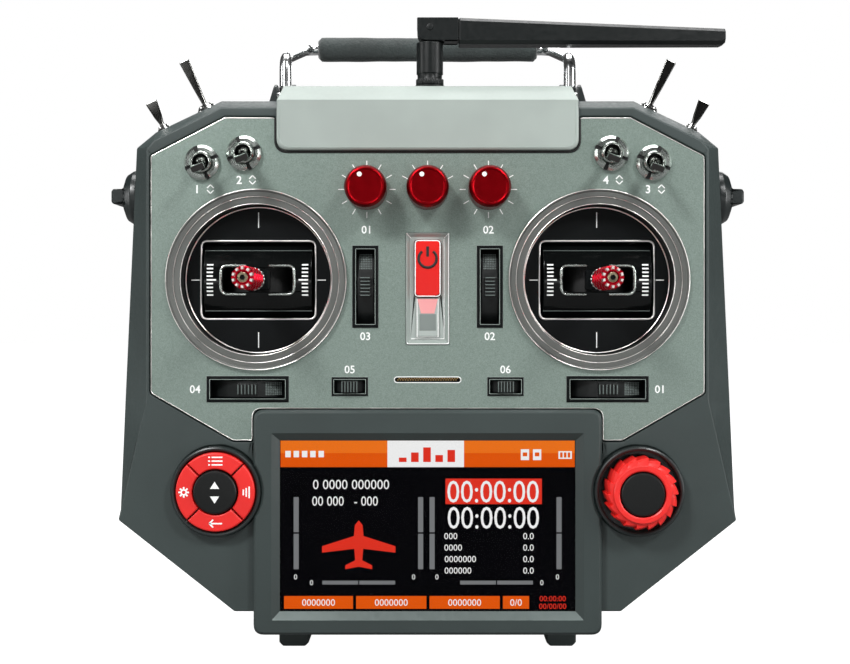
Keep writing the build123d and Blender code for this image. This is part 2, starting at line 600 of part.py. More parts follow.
def trim_frame(kind):
    """Level frame at the origin, with two cheeks that carry the rocker's pin."""
    _, _, length, width, border, _ = TRIMS[kind]
    frame = slab(Rectangle(length + 2 * border, width + 2 * border), TRIM_PROUD, FRONT_WALL)
    frame = chamfer(frame.faces().sort_by(Axis.Y)[0].edges(), 0.3)
    frame -= slab(Rectangle(length, width), TRIM_PROUD - 1, FRONT_WALL + 1)
    pivot = trim_radius(kind) + 0.2
    strip_depth = pivot - math.sqrt(trim_radius(kind) ** 2 - (length / 2) ** 2)
    frame -= block((-length, length), (strip_depth - GAP, FRONT_WALL + 1), (-width / 2, width / 2))
    for side in SIDES.values():
        low, high = sorted((side * (width / 2 + 0.02), side * (width / 2 + border)))
        frame += block((-3, 3), (FRONT_WALL - 1, pivot + 2), (low, high))
        frame -= Pos(0, 0, (low + high) / 2) * rod_z(0, pivot, TRIM_PIN + FIT, -3, 3)
    return frame


def trim_rocker(kind):
    """Level rocker at the origin: a curved strip with a ribbed thumb piece, on a web and pin."""
    _, _, length, width, _, _ = TRIMS[kind]
    radius = trim_radius(kind)
    pivot = radius + 0.2
    half_width = width / 2 - GAP
    half_span = math.degrees(math.asin((length / 2) / radius)) + (9.0 if radius > 15 else 10.0)
    knob_length = 6.0 if radius > 15 else 5.1
    knob_width = 3.3 if radius > 15 else 2 * half_width
    band = rod_z(0, pivot, radius, -half_width, half_width) - rod_z(0, pivot, radius - 1.0, -9, 9)
    cut_depth = pivot - radius * math.cos(math.radians(half_span))
    band -= block((-30, 30), (cut_depth, 60), (-9, 9))
    web = block((-0.8, 0.8), (1.0, pivot), (-half_width, half_width))
    knob_block = block((-knob_length / 2, knob_length / 2), (-2.2, 1.0), (-knob_width / 2, knob_width / 2))
    ribs = 5
    pitch = knob_length / (ribs + 0.5)
    for step in range(ribs):
        x = (step - (ribs - 1) / 2) * pitch
        knob_block -= block((x - pitch * 0.25, x + pitch * 0.25), (-3, -1.6), (-9, 9))
    pin = rod_z(0, pivot, TRIM_PIN, -width / 2 - 0.7, width / 2 + 0.7)
    pin += rod_z(0, pivot, 1.8, -half_width, half_width)
    return band + web + knob_block + pin


def place_trim(piece, kind, side):
    x, z, _, _, _, upright = TRIMS[kind]
    turned = Rot(Y=90) * piece if upright else piece
    return Pos(side * x, 0, z) * turned


def trim_frames():
    return [place_trim(trim_frame(kind), kind, side) for kind in TRIMS for side in SIDES.values()]


# ---------------------------------------------------------------- power button, speaker, pads
def power_window():
    frame = slab(Pos(0, POWER_Z) * RectangleRounded(POWER_WIDTH, POWER_HEIGHT, 0.7), -0.4, FRONT_WALL)
    outer = front_plane(-0.4) * Pos(0, POWER_Z) * Rectangle(POWER_WIDTH - 0.4, POWER_HEIGHT - 0.4)
    inner = front_plane(0.8) * Pos(0, POWER_Z) * Rectangle(POWER_WIDTH - 2.6, POWER_HEIGHT - 2.6)
    frame -= loft([outer, inner], ruled=True)
    button_hole = RectangleRounded(BUTTON_WIDTH + 2 * GAP, BUTTON_HEIGHT + 2 * GAP, 1.2)
    frame -= slab(Pos(0, BUTTON_Z) * button_hole, -1, 5)
    frame += slab(Pos(0, 107.0) * Rectangle(6.6, 12.0), 0.0, 1.0)
    return [frame]


def power_button():
    outline = Pos(0, BUTTON_Z) * RectangleRounded(BUTTON_WIDTH, BUTTON_HEIGHT, 1.0)
    button = slab(outline, -0.9, FRONT_WALL + 2)
    return [chamfer(button.faces().sort_by(Axis.Y)[0].edges(), 0.3)]


def speaker():
    cone = rod_y(0, SPEAKER_Z, SPEAKER_RADIUS, FRONT_WALL + 0.6, FRONT_WALL + 5)
    strip = slab(Pos(0, SPEAKER_Z) * Rectangle(23, 4), FRONT_WALL, FRONT_WALL + 0.6)
    for step in range(-4, 5):
        strip -= rod_y(2.2 * step, SPEAKER_Z, 0.5, FRONT_WALL - 1, FRONT_WALL + 0.6)
    return [cone + strip]


def nav_collars():
    collar = rod_y(PAD_X, PAD_Z, COLLAR_RADIUS, COLLAR_FRONT, FRONT_WALL)
    collar = chamfer(collar.edges().filter_by(GeomType.CIRCLE).group_by(Axis.Y)[0], 0.6)
    collar -= rod_y(PAD_X, PAD_Z, COLLAR_BORE, COLLAR_FRONT - 1, PAD_FLOOR)
    return both_sides(collar)


def menu_key(turn):
    """Quarter of the left pad's ring; turn 0 is the right-hand key, 90 the upper one."""
    ring = Circle(KEY_OUTER) - Circle(KEY_INNER)
    reach = 20.0
    split = 0.25
    wedge = Polygon((split, 0), (reach, reach - split), (reach, split - reach), align=None)
    key = slab(Rot(Z=turn) * (ring & wedge), -4.0, 1.4)
    key = chamfer(key.faces().sort_by(Axis.Y)[0].edges(), 0.35)
    return [Pos(-PAD_X, 0, PAD_Z) * key]


def page_button():
    button = rod_y(-PAD_X, PAD_Z, CENTRE_RADIUS, -4.8, 1.4)
    return [fillet(button.edges().filter_by(GeomType.CIRCLE).group_by(Axis.Y)[0], 0.8)]


def encoder_ring():
    """Scroll ring with eighteen stepped teeth round a plain front band."""
    ring = rod_y(0, 0, 10.2, -8.6, 1.8)
    ring += rod_y(0, 0, 9.5, -9.6, -8.6)
    for step in range(18):
        tooth = block((-0.55, 0.55), (-8.2, 0.5), (9.4, 11.3)) + block((0.5, 1.7), (-8.2, 0.5), (9.4, 10.7))
        ring += Rot(Y=20.0 * step) * tooth
    ring -= rod_y(0, 0, CENTRE_RADIUS + GAP, -12, 3)
    return [Pos(PAD_X, 0, PAD_Z) * ring]


def enter_button():
    button = rod_y(PAD_X, PAD_Z, CENTRE_RADIUS, -9.8, 1.4)
    return [fillet(button.edges().filter_by(GeomType.CIRCLE).group_by(Axis.Y)[0], 0.6)]


# ---------------------------------------------------------------- handle and antenna
def handle_brackets():
    """Sloping brackets; each leg of the wire turns in a slot between two cheeks."""
    near = HANDLE_DEPTH - BRACKET_HALF_DEPTH
    far = HANDLE_DEPTH + BRACKET_HALF_DEPTH
    top = BRACKET[-1][1]
    slot_half = WIRE_RADIUS + GAP
    bracket = slab(Polygon(*BRACKET, align=None), near, far)
    slot_floor = HANDLE_Z - slot_half
    bracket -= block((LEG_X - slot_half, LEG_X + slot_half), (near - 1, far + 1), (slot_floor, top + 1))
    bracket -= rod_x(HANDLE_DEPTH, HANDLE_Z, WIRE_RADIUS + FIT, LEG_X, LEG_X + 10)
    long_edges = bracket.edges().filter_by(Axis.X).group_by(Axis.Z)[-1]
    return both_sides(chamfer(long_edges, 1.0))


def carry_handle():
    """Bent wire: two pivot stubs, two legs that lean back, and the bar through the grip."""
    half = [(LEG_X + 4.0, HANDLE_DEPTH, HANDLE_Z), (LEG_X, HANDLE_DEPTH, HANDLE_Z),
            (LEG_X, HANDLE_DEPTH, LEG_TOP), (44.3, GRIP_DEPTH, GRIP_Z)]
    route = half + [(-x, y, z) for x, y, z in reversed(half)]
    tight = WIRE_RADIUS * 1.1
    easy = 5.0
    path = FilletPolyline(*route, radius=[tight, easy, easy, easy, easy, tight])
    start = Plane(origin=path @ 0, z_dir=path % 0)
    return [sweep(start * Circle(WIRE_RADIUS), path=path)]


def handle_grip():
    grip = rod_x(GRIP_DEPTH, GRIP_Z, GRIP_RADIUS, -GRIP_HALF, GRIP_HALF)
    grip = fillet(grip.edges().filter_by(GeomType.CIRCLE), 1.4)
    grip -= rod_x(GRIP_DEPTH, GRIP_Z, WIRE_RADIUS + FIT, -GRIP_HALF - 1, GRIP_HALF + 1)
    return [grip]


def antenna_socket():
    socket = rod_z(ANTENNA_X, ANTENNA_DEPTH, SOCKET_RADIUS, 168, BANNER_TOP + 1)
    socket += rod_z(ANTENNA_X, ANTENNA_DEPTH, 5.0, BANNER_TOP, BANNER_TOP + 1)
    return [socket]


def antenna_swivel():
    """Knurled nut, neck and sleeve, with the tongue and pin of the elbow."""
    nut_top = 184.0
    flutes = 24
    flute_circle = 4.6
    tongue_half = 1.5
    pin_half = FORK_HALF + 0.15
    nut = rod_z(ANTENNA_X, ANTENNA_DEPTH, 4.5, BANNER_TOP + 1.3, nut_top)
    for step in range(flutes):
        angle = 2 * math.pi * step / flutes
        x = ANTENNA_X + flute_circle * math.cos(angle)
        depth = ANTENNA_DEPTH + flute_circle * math.sin(angle)
        nut -= rod_z(x, depth, 0.3, BANNER_TOP, nut_top + 1)
    swivel = nut + rod_z(ANTENNA_X, ANTENNA_DEPTH, 4.0, nut_top, SLEEVE_LOW)
    swivel += rod_z(ANTENNA_X, ANTENNA_DEPTH, ANTENNA_SLEEVE, SLEEVE_LOW, SLEEVE_HIGH)
    outline = Pos(ANTENNA_X, ELBOW_Z) * Circle(3.0)
    stem_height = ELBOW_Z - SLEEVE_HIGH + 0.4
    outline += Pos(ANTENNA_X, ELBOW_Z - stem_height / 2) * Rectangle(6.0, stem_height)
    tongue = slab(outline, ANTENNA_DEPTH - tongue_half, ANTENNA_DEPTH + tongue_half)
    pin = rod_y(ANTENNA_X, ELBOW_Z, ELBOW_PIN, ANTENNA_DEPTH - pin_half, ANTENNA_DEPTH + pin_half)
    return [swivel + tongue + pin]


def blade_section(x, half_depth, low, high):
    """Chamfered rectangle across the blade."""
    cut = 1.1
    corners = [(half_depth, low + cut), (half_depth - cut, low), (-half_depth + cut, low),
               (-half_depth, low + cut), (-half_depth, high - cut), (-half_depth + cut, high),
               (half_depth - cut, high), (half_depth, high - cut)]
    points = [(ANTENNA_DEPTH + y, z) for y, z in corners]
    return Plane.YZ.offset(x) * Polygon(*points, align=None)


def antenna_blade():
    """Flat blade with a forked root that turns on the elbow pin; it lies level at rest."""
    left = ANTENNA_X - FORK_HALF
    low = SLEEVE_HIGH + 0.4
    near, far = ANTENNA_DEPTH - FORK_HALF, ANTENNA_DEPTH + FORK_HALF
    root_outline = Rectangle(BLADE_ROOT - left, BLADE_HIGH - low)
    root = slab(Pos((left + BLADE_ROOT) / 2, (low + BLADE_HIGH) / 2) * root_outline, near, far)
    low_corner = root.edges().filter_by(Axis.Y).sort_by(lambda edge: edge.center().X + edge.center().Z)[0]
    root = fillet(low_corner, 3.5)
    fork_slot = (ANTENNA_DEPTH - 1.8, ANTENNA_DEPTH + 1.8)
    root -= block((left - 2, ANTENNA_X + 4.6), fork_slot, (low - 5, BLADE_HIGH + 5))
    root -= rod_y(ANTENNA_X, ELBOW_Z, ELBOW_PIN + FIT, near - 2, far + 2)
    blade = loft([blade_section(BLADE_ROOT, 4.3, BLADE_LOW, BLADE_HIGH),
                  blade_section(BLADE_TIP, 3.3, BLADE_LOW, BLADE_TIP_HIGH)], ruled=True)
    wedge = Polygon((BLADE_TIP - 1.9, BLADE_LOW - 0.1), (BLADE_TIP + 0.1, BLADE_LOW - 0.1),
                    (BLADE_TIP + 0.1, BLADE_LOW + 1.2), align=None)
    blade -= slab(wedge, near - 2, far + 2)
    return [root + blade]


# ---------------------------------------------------------------- inside
def battery_pack():
    case = block((-32, 32), (27, 46.5), (28, 75))
    return [chamfer(case.edges().filter_by(Axis.X), 3.0)]


def main_board():
    board = block((-40, 40), (13.0, 14.6), (17, 92))
    for x, z, width, height in ((-18, 62, 20, 20), (14, 40, 14, 14), (24, 74, 10, 16), (-22, 32, 12, 8)):
        board += block((x - width / 2, x + width / 2), (14.6, 16.6), (z - height / 2, z + height / 2))
    return [board]


# ---------------------------------------------------------------- assembly
def build_nodes():
    nodes = {
        "front_housing": front_housing(),
        "rear_housing": rear_housing(),
        "rubber_grips": rubber_grips(),
        "faceplate": faceplate(),
        "top_banner": top_banner(),
        "screen_bezel": screen_bezel(),
        "screen_lens": screen_lens(),
        "lcd_module": lcd_module(),
        "gimbal_rings": gimbal_rings(),
        "gimbal_frames": gimbal_frames(),
        "toggle_bushings": toggle_bushings(),
        "trim_frames": trim_frames(),
        "power_window": power_window(),
        "power_button": power_button(),
        "speaker": speaker(),
        "nav_collars": nav_collars(),
        "page_button": page_button(),
        "encoder_ring": encoder_ring(),
        "enter_button": enter_button(),
        "handle_brackets": handle_brackets(),
        "carry_handle": carry_handle(),
        "handle_grip": handle_grip(),
        "antenna_socket": antenna_socket(),
        "antenna_swivel": antenna_swivel(),
        "antenna_blade": antenna_blade(),
        "battery_pack": battery_pack(),
        "battery_door": battery_door(),
        "module_cover": module_cover(),
        "main_board": main_board(),
        "housing_screws": housing_screws(),
        "feet": feet(),
    }
    for name, x in (("left_knob", -KNOB_SPACING), ("mode_selector_knob", 0), ("right_knob", KNOB_SPACING)):
        nodes[name] = knob(x)
    for name, turn in (("right", 0), ("up", 90), ("left", 180), ("down", 270)):
        nodes[f"menu_key_{name}"] = menu_key(turn)
    for name, side in SIDES.items():
        place = Pos(side * GIMBAL_X, 0, GIMBAL_Z)
        nodes[f"{name}_gimbal_barrel"] = [place * gimbal_barrel()]
        nodes[f"{name}_stick"] = [place * stick()]
        nodes[f"{name}_stick_end"] = [place * stick_end()]
        nodes[f"{name}_side_lever"] = side_lever(side)
        for kind in FACE_TOGGLES:
            nodes[f"{name}_{kind}_toggle"] = face_toggle(side, kind)
        for kind in SHOULDER_TOGGLES:
            nodes[f"{name}_{kind}_toggle"] = shoulder_toggle(side, kind)
        for kind in TRIMS:
            nodes[f"{name}_{kind}_trim"] = [place_trim(trim_rocker(kind), kind, side)]
    return nodes


def export_nodes():
    os.makedirs("parts", exist_ok=True)
    for name, pieces in build_nodes().items():
        solids = [solid for piece in pieces for solid in piece.solids()]
        moved = Pos(0, -CENTRE_DEPTH, 0) * Compound(children=solids)
        export_step(moved, f"parts/{name}.step")


export_nodes()
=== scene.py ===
import json
from math import acos, asin, atan2, copysign, cos, degrees, hypot, pi, radians, sin, sqrt, tan

import bmesh
import bpy
from mathutils import Matrix, Vector


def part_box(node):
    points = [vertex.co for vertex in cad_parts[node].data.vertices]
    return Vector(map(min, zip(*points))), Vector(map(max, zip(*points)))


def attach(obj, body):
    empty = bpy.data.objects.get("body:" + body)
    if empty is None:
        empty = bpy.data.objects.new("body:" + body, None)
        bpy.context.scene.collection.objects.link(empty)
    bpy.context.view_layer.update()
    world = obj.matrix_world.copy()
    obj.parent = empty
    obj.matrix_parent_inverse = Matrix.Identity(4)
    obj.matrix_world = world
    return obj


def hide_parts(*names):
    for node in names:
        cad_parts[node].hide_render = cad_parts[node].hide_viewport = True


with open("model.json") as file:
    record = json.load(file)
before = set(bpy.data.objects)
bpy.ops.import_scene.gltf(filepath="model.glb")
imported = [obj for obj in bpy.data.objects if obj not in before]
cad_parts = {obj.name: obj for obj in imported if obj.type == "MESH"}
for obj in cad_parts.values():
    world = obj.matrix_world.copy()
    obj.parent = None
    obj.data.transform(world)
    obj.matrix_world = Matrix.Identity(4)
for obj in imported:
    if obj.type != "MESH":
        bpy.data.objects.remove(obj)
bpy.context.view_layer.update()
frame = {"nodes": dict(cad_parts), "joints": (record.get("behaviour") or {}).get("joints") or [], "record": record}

# Shapes below are in millimetres: x to the right, depth back from the faceplate's front, z up.
# Each piece is built round an origin taken from the CAD frame, then scaled to metres.
MM = 0.001
AXIS = 0.0001            # radius at which a turned profile closes on its axis
FACE_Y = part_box("faceplate")[0].y
JOINTS = {joint["name"]: joint for joint in frame["joints"]}
BODY_OF = {node: body for body, nodes in frame["record"]["behaviour"]["bodies"].items() for node in nodes}
SIDES = ("left", "right")
PAINT = {}               # materials by name


# ---------------------------------------------------------------- places in the CAD frame
def centre(node):
    low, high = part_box(node)
    return (low + high) / 2


def on_face(point):
    """The place on the faceplate's front straight ahead of a point."""
    return Vector((point.x, FACE_Y, point.z))


def joint_point(name):
    return Vector(JOINTS[name]["pos_m"])


# ---------------------------------------------------------------- outlines
def polar(radius, angle):
    return radius * cos(angle), radius * sin(angle)


def circle(radius, steps=96):
    return [polar(radius, 2 * pi * i / steps) for i in range(steps)]


def inset_corners(points, amount):
    """Corners of a closed outline after every edge moves inward, and which corners are convex."""
    area = sum(a[0] * b[1] - b[0] * a[1] for a, b in zip(points, points[1:] + points[:1]))
    turn = 1 if area > 0 else -1
    moved, convex = [], []
    for before, here, after in zip(points[-1:] + points[:-1], points, points[1:] + points[:1]):
        first = (Vector(here) - Vector(before)).normalized()
        second = (Vector(after) - Vector(here)).normalized()
        inward = (Vector((-first.y, first.x)) + Vector((-second.y, second.x))) * turn
        moved.append(Vector(here) + inward * (amount / max(0.05, 1 + first.dot(second))))
        convex.append((first.x * second.y - first.y * second.x) * turn > 0)
    return moved, convex


def corner_curve(before, here, after, radius, steps):
    """Points of a rounded corner, which takes up less than half of each side."""
    back, ahead = before - here, after - here
    reach = min(radius / tan(back.angle(ahead) / 2), back.length * 0.49, ahead.length * 0.49)
    start = here + back.normalized() * reach
    end = here + ahead.normalized() * reach
    return [start.lerp(here, k / steps).lerp(here.lerp(end, k / steps), k / steps) for k in range(steps + 1)]


def rounded(points, radii, inset=0.0, steps=6):
    """A closed outline with rounded corners, moved inward by inset."""
    radii = radii if isinstance(radii, list) else [radii] * len(points)
    corners, convex = inset_corners(points, inset)
    outline = []
    for i, here in enumerate(corners):
        radius = max(0.02, radii[i] - inset if convex[i] else radii[i] + inset)
        after = corners[(i + 1) % len(corners)]
        outline += [tuple(point) for point in corner_curve(corners[i - 1], here, after, radius, steps)]
    return outline


def box_outline(width, height, radius, steps=6):
    return rounded(rectangle(width, height), radius, steps=steps)


def level(outline, depth, z=0.0):
    """A front-view outline at a depth."""
    return [(px, depth, pz + z) for px, pz in outline]


def bent_path(corners, radii):
    """A 3-D path with rounded corners."""
    points = [Vector(p) for p in corners]
    path = [points[0]]
    for before, here, after, radius in zip(points, points[1:], points[2:], radii):
        path += corner_curve(before, here, after, radius, 10)
    return path + [points[-1]]


# ---------------------------------------------------------------- skins
def skin(bm, loops, caps=True, closed=False, paint=0):
    """Faces between successive loops of equal length, with flat caps on the two ends."""
    rings = [[bm.verts.new(point) for point in loop] for loop in loops]
    faces = []
    for ring, other in zip(rings, rings[1:] + (rings[:1] if closed else [])):
        for i in range(len(ring)):
            j = (i + 1) % len(ring)
            faces.append(bm.faces.new((ring[i], ring[j], other[j], other[i])))
    if caps and not closed:
        faces.append(bm.faces.new(rings[0][::-1]))
        faces.append(bm.faces.new(rings[-1]))
    for face in faces:
        face.material_index = paint
    return faces


def turned(bm, profile, steps=96, closed=False, shape=None):
    """A profile of (radius, depth) points turned about the front-to-back axis."""
    loops = []
    for index, (radius, depth) in enumerate(profile):
        loop = []
        for i in range(steps):
            angle = 2 * pi * i / steps
            r, d = shape(index, angle, radius, depth) if shape else (radius, depth)
            loop.append((r * cos(angle), d, r * sin(angle)))
        loops.append(loop)
    return skin(bm, loops, closed=closed)


def disc(bm, radius, near, far, steps=48):
    """A solid round plate between two depths."""
    turned(bm, [(AXIS, near), (radius, near), (radius, far), (AXIS, far)], steps)


def plate(bm, outline, near, far, paint=0):
    """A flat piece between two depths."""
    skin(bm, [level(outline, near), level(outline, far)], paint=paint)


def rectangle(width, height):
    w, h = width / 2, height / 2
    return [(-w, -h), (w, -h), (w, h), (-w, h)]


def bar(bm, x, z, width, height, near, far, turn=0.0, paint=0):
    """A flat rectangular mark, turned about the front-to-back axis by degrees."""
    c, s = cos(radians(turn)), sin(radians(turn))
    corners = [(x + px * c - pz * s, z + px * s + pz * c) for px, pz in rectangle(width, height)]
    plate(bm, corners, near, far, paint)


def tube(bm, path, radius, steps=8, closed=False):
    """A round bar along a path of 3-D points."""
    points = [Vector(p) for p in path]
    count = len(points)
    loops = []
    side = None
    for i, here in enumerate(points):
        before = points[i - 1] if i or closed else here
        after = points[(i + 1) % count] if i < count - 1 or closed else here
        along = (after - before).normalized()
        if side is None:
            side = along.orthogonal().normalized()
        side = (side - along * side.dot(along)).normalized()
        other = along.cross(side)
        loops.append([here + side * a + other * b for a, b in circle(radius, steps)])
    return skin(bm, loops, closed=closed)


def glyphs(bm, text, x, z, height, near, thick=0.03, weight=0.0, narrow=1.0, paint=0):
    """Numerals as flat marks, centred on (x, z)."""
    curve = bpy.data.curves.new("glyph", "FONT")
    curve.body = text
    curve.size = height / 0.7
    curve.offset = weight
    curve.align_x = "CENTER"
    curve.resolution_u = 3
    holder = in_scene("glyph", curve)
    mesh = bpy.data.meshes.new_from_object(holder.evaluated_get(bpy.context.evaluated_depsgraph_get()))
    bpy.data.objects.remove(holder)
    shape = bmesh.new()
    shape.from_mesh(mesh)
    bpy.data.meshes.remove(mesh)
    made = bmesh.ops.extrude_face_region(shape, geom=shape.faces[:])
    raised = [v for v in made["geom"] if isinstance(v, bmesh.types.BMVert)]
    bmesh.ops.translate(shape, verts=raised, vec=(0, 0, thick))
    upright = Matrix.Rotation(radians(90), 4, "X") @ Matrix.Translation((0, -height / 2, -thick))
    shape.transform(Matrix.Translation((x, near, z)) @ upright @ Matrix.Scale(narrow, 4, (1, 0, 0)))
    matched = {v: bm.verts.new(v.co) for v in shape.verts}
    for face in shape.faces:
        bm.faces.new([matched[v] for v in face.verts]).material_index = paint
    shape.free()


def repaint(faces, test):
    """Give faces whose middle passes a test the second paint."""
    for face in faces:
        if test(face.calc_center_median()):
            face.material_index = 1


def spike(bm, origin, outward, across, height, foot, tip, paint=1):
    """A blunt four-sided point with a bright end, on a surface facing outward."""
    third = outward.cross(across)
    loops = []
    for reach, half in ((0.0, foot), (height, tip)):
        loops.append([origin + outward * reach + across * (half * sx) + third * (half * sz)
                      for sx, sz in ((-1, -1), (1, -1), (1, 1), (-1, 1))])
    skin(bm, loops, paint=paint)[-1].material_index = 1


# ---------------------------------------------------------------- pieces
def in_scene(name, data):
    made = bpy.data.objects.new(name, data)
    bpy.context.scene.collection.objects.link(made)
    return made


def piece(name, bm, paints, node, origin, turn=None, stands_in=False, bevel=0.0, angle=35.0):
    """Turn a millimetre mesh into a piece with a CAD node's body, which may stand for the node."""
    bmesh.ops.remove_doubles(bm, verts=bm.verts, dist=0.0005)
    bmesh.ops.recalc_face_normals(bm, faces=bm.faces)
    bmesh.ops.scale(bm, vec=(MM, MM, MM), verts=bm.verts)
    place = Matrix.Translation(origin) @ (turn if turn else Matrix.Identity(4))
    return finished(name, bm, paints, node, place, stands_in, bevel, 2, angle)


def refined(node, paint, bevel, segments=2):
    """A copy of a CAD node with clean faces and rounded edges, which stands for the node."""
    bm = bmesh.new()
    bm.from_mesh(frame["nodes"][node].data)
    bmesh.ops.remove_doubles(bm, verts=bm.verts, dist=0.002 * MM)
    for face in bm.faces:
        face.material_index = 0
    place = Matrix.Identity(4)
    finished(node + "_shape", bm, paint, node, place, True, bevel, segments, 35.0)


def finished(name, bm, paints, node, place, stands_in, bevel, segments, angle):
    """A piece from a mesh in metres: paints, smooth shading up to an angle, bevel and even normals."""
    mesh = bpy.data.meshes.new(name)
    bm.to_mesh(mesh)
    bm.free()
    mesh.shade_smooth()
    mesh.set_sharp_from_angle(angle=radians(angle))
    for paint in [paints] if isinstance(paints, str) else paints:
        mesh.materials.append(PAINT[paint])
    made = in_scene(name, mesh)
    made.matrix_world = place
    if bevel:
        edge = made.modifiers.new("edge", "BEVEL")
        edge.width = bevel * MM
        edge.segments = segments
        edge.limit_method = "ANGLE"
        edge.angle_limit = radians(28)
        edge.use_clamp_overlap = False
        edge.miter_outer = "MITER_ARC"
    made.modifiers.new("even", "WEIGHTED_NORMAL").keep_sharp = True
    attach(made, BODY_OF[node])
    if stands_in:
        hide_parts(node)
    return made


def dress(node, paint):
    """Give a CAD node that stays in view its finished material."""
    slots = frame["nodes"][node].data.materials
    slots.clear()
    slots.append(PAINT[paint])


# ---------------------------------------------------------------- material nodes
def linear(c):
    return c / 255 / 12.92 if c <= 10 else ((c / 255 + 0.055) / 1.055) ** 2.4


def ink(red, green, blue):
    """A display colour of 0 to 255 as a linear one."""
    return linear(red), linear(green), linear(blue), 1


def scaled(colour, factor):
    return tuple(min(255, c * factor) for c in colour)


def feed(mat, target, inputs):
    """Give a node's inputs their values, or link them to other nodes' outputs."""
    for name, value in inputs.items():
        socket = target.inputs[name.replace("_", " ").title().replace("Ior", "IOR")]
        if isinstance(value, bpy.types.NodeSocket):
            mat.node_tree.links.new(value, socket)
        else:
            socket.default_value = value


def add(mat, kind, output=0, settings=None, **inputs):
    """Add a shader node, and return one of its outputs."""
    made = mat.node_tree.nodes.new("ShaderNode" + kind)
    for key, value in (settings or {}).items():
        setattr(made, key, value)
    feed(mat, made, inputs)
    return made.outputs[output]


def shade(mat, **inputs):
    """Set inputs of the material's own shader."""
    feed(mat, mat.node_tree.nodes["Principled BSDF"], inputs)


def material(name, colour, roughness, **inputs):
    made = bpy.data.materials.new(name)
    made.use_nodes = True
    shade(made, base_color=ink(*colour), roughness=roughness, **inputs)
    PAINT[name] = made
    return made


def own_place(mat, stretch=(1, 1, 1)):
    """The piece's own coordinates, in metres."""
    return add(mat, "Mapping", vector=add(mat, "TexCoord", "Object"), scale=stretch)


def noise(mat, size, detail=3.0, stretch=(1, 1, 1)):
    """Soft blotches about size millimetres across."""
    return add(mat, "TexNoise", scale=1 / MM / size, detail=detail, vector=own_place(mat, stretch))


def cells(mat, size, output="Distance"):
    """Crystal-like cells about size millimetres across."""
    return add(mat, "TexVoronoi", output, scale=1 / MM / size, vector=own_place(mat))


def ramp(mat, value, low, high, first, last):
    """A colour between two colours as value goes from low to high."""
    made = mat.node_tree.nodes.new("ShaderNodeValToRGB")
    for element, position, colour in zip(made.color_ramp.elements, (low, high), (first, last)):
        element.position = position
        element.color = ink(*colour)
    feed(mat, made, {"fac": value})
    return made.outputs["Color"]


def spread(mat, value, first, last, low=0.3, high=0.7):
    """A number between two numbers as value goes from low to high."""
    return add(mat, "MapRange", value=value, from_min=low, from_max=high, to_min=first, to_max=last)


def emboss(mat, height, depth):
    """Bump of a depth in millimetres, on top of any that is there."""
    earlier = mat.node_tree.nodes["Principled BSDF"].inputs["Normal"].links
    below = {"normal": earlier[0].from_socket} if earlier else {}
    shade(mat, normal=add(mat, "Bump", height=height, distance=depth * MM, **below))


def plastic(name, colour, roughness, depth, grain=0.3, vary=0.04, specular=0.5, **inputs):
    """Moulded plastic: fine spark-eroded grain, uneven gloss and faint tone changes."""
    made = material(name, colour, roughness, specular_ior_level=specular, **inputs)
    tones = scaled(colour, 1 - vary), scaled(colour, 1 + vary)
    shade(made, base_color=ramp(made, noise(made, 28.0), 0.35, 0.65, *tones))
    shade(made, roughness=spread(made, noise(made, 1.4), roughness * 0.88, min(1, roughness * 1.14)))
    emboss(made, noise(made, grain, detail=2.0), depth)
    return made


def metal(name, colour, roughness, depth=0.002):
    """Polished metal: smudged gloss, a slight colour drift and fine scratches."""
    made = material(name, colour, roughness, metallic=1.0)
    shade(made, base_color=ramp(made, noise(made, 5.0), 0.3, 0.7, scaled(colour, 0.93), colour))
    shade(made, roughness=spread(made, noise(made, 4.0, detail=1.0), roughness * 0.85, roughness * 1.2))
    emboss(made, noise(made, 0.25), depth)


def satin_plate():
    """Painted metal face: grey-green with a fine metallic sparkle."""
    made = material("satin_plate", (124, 140, 132), 0.4, metallic=0.55)
    grey = add(made, "RGBToBW", color=cells(made, 0.22, output="Color"))
    shade(made, base_color=ramp(made, grey, 0.0, 1.0, (108, 123, 116), (140, 155, 147)))
    shade(made, roughness=spread(made, grey, 0.32, 0.46, 0.0, 1.0))
    emboss(made, noise(made, 0.5, detail=1.0), 0.006)


def lathed_metal(name, colour, roughness):
    """Turned metal with fine rings round the piece's own front-to-back axis."""
    made = material(name, colour, roughness, metallic=0.85, anisotropic=0.35)
    place = own_place(made)
    flat = add(made, "CombineXYZ", x=add(made, "SeparateXYZ", "X", vector=place),
               y=add(made, "SeparateXYZ", "Z", vector=place))
    radius = add(made, "VectorMath", "Value", {"operation": "LENGTH"}, vector=flat)
    rings = add(made, "TexNoise", settings={"noise_dimensions": "1D"}, scale=6000, detail=4.0, w=radius)
    shade(made, base_color=ramp(made, rings, 0.3, 0.7, scaled(colour, 0.86), colour))
    shade(made, roughness=spread(made, rings, roughness * 0.8, roughness * 1.25))
    shade(made, tangent=add(made, "Tangent", settings={"direction_type": "RADIAL", "axis": "Y"}))
    emboss(made, rings, 0.004)


def foam():
    """Closed-cell foam of the handle's sleeve."""
    made = plastic("foam_grip", (44, 51, 50), 0.9, 0.12, grain=0.6, vary=0.2, sheen_weight=0.25)
    emboss(made, cells(made, 0.8), 0.12)


def glow(name, colour):
    """A lit patch of the display, with a faint pixel grid in its brightness."""
    made = material(name, (0, 0, 0), 0.6, emission_color=ink(*colour), specular_ior_level=0.0)
    shade(made, emission_strength=spread(made, cells(made, 0.11), 0.9, 1.04))


def printed(name, colour):
    """Silk-screened ink, slightly uneven."""
    made = material(name, colour, 0.55)
    shade(made, base_color=ramp(made, noise(made, 0.4), 0.3, 0.75, scaled(colour, 0.9), colour))
    emboss(made, noise(made, 0.12), 0.01)


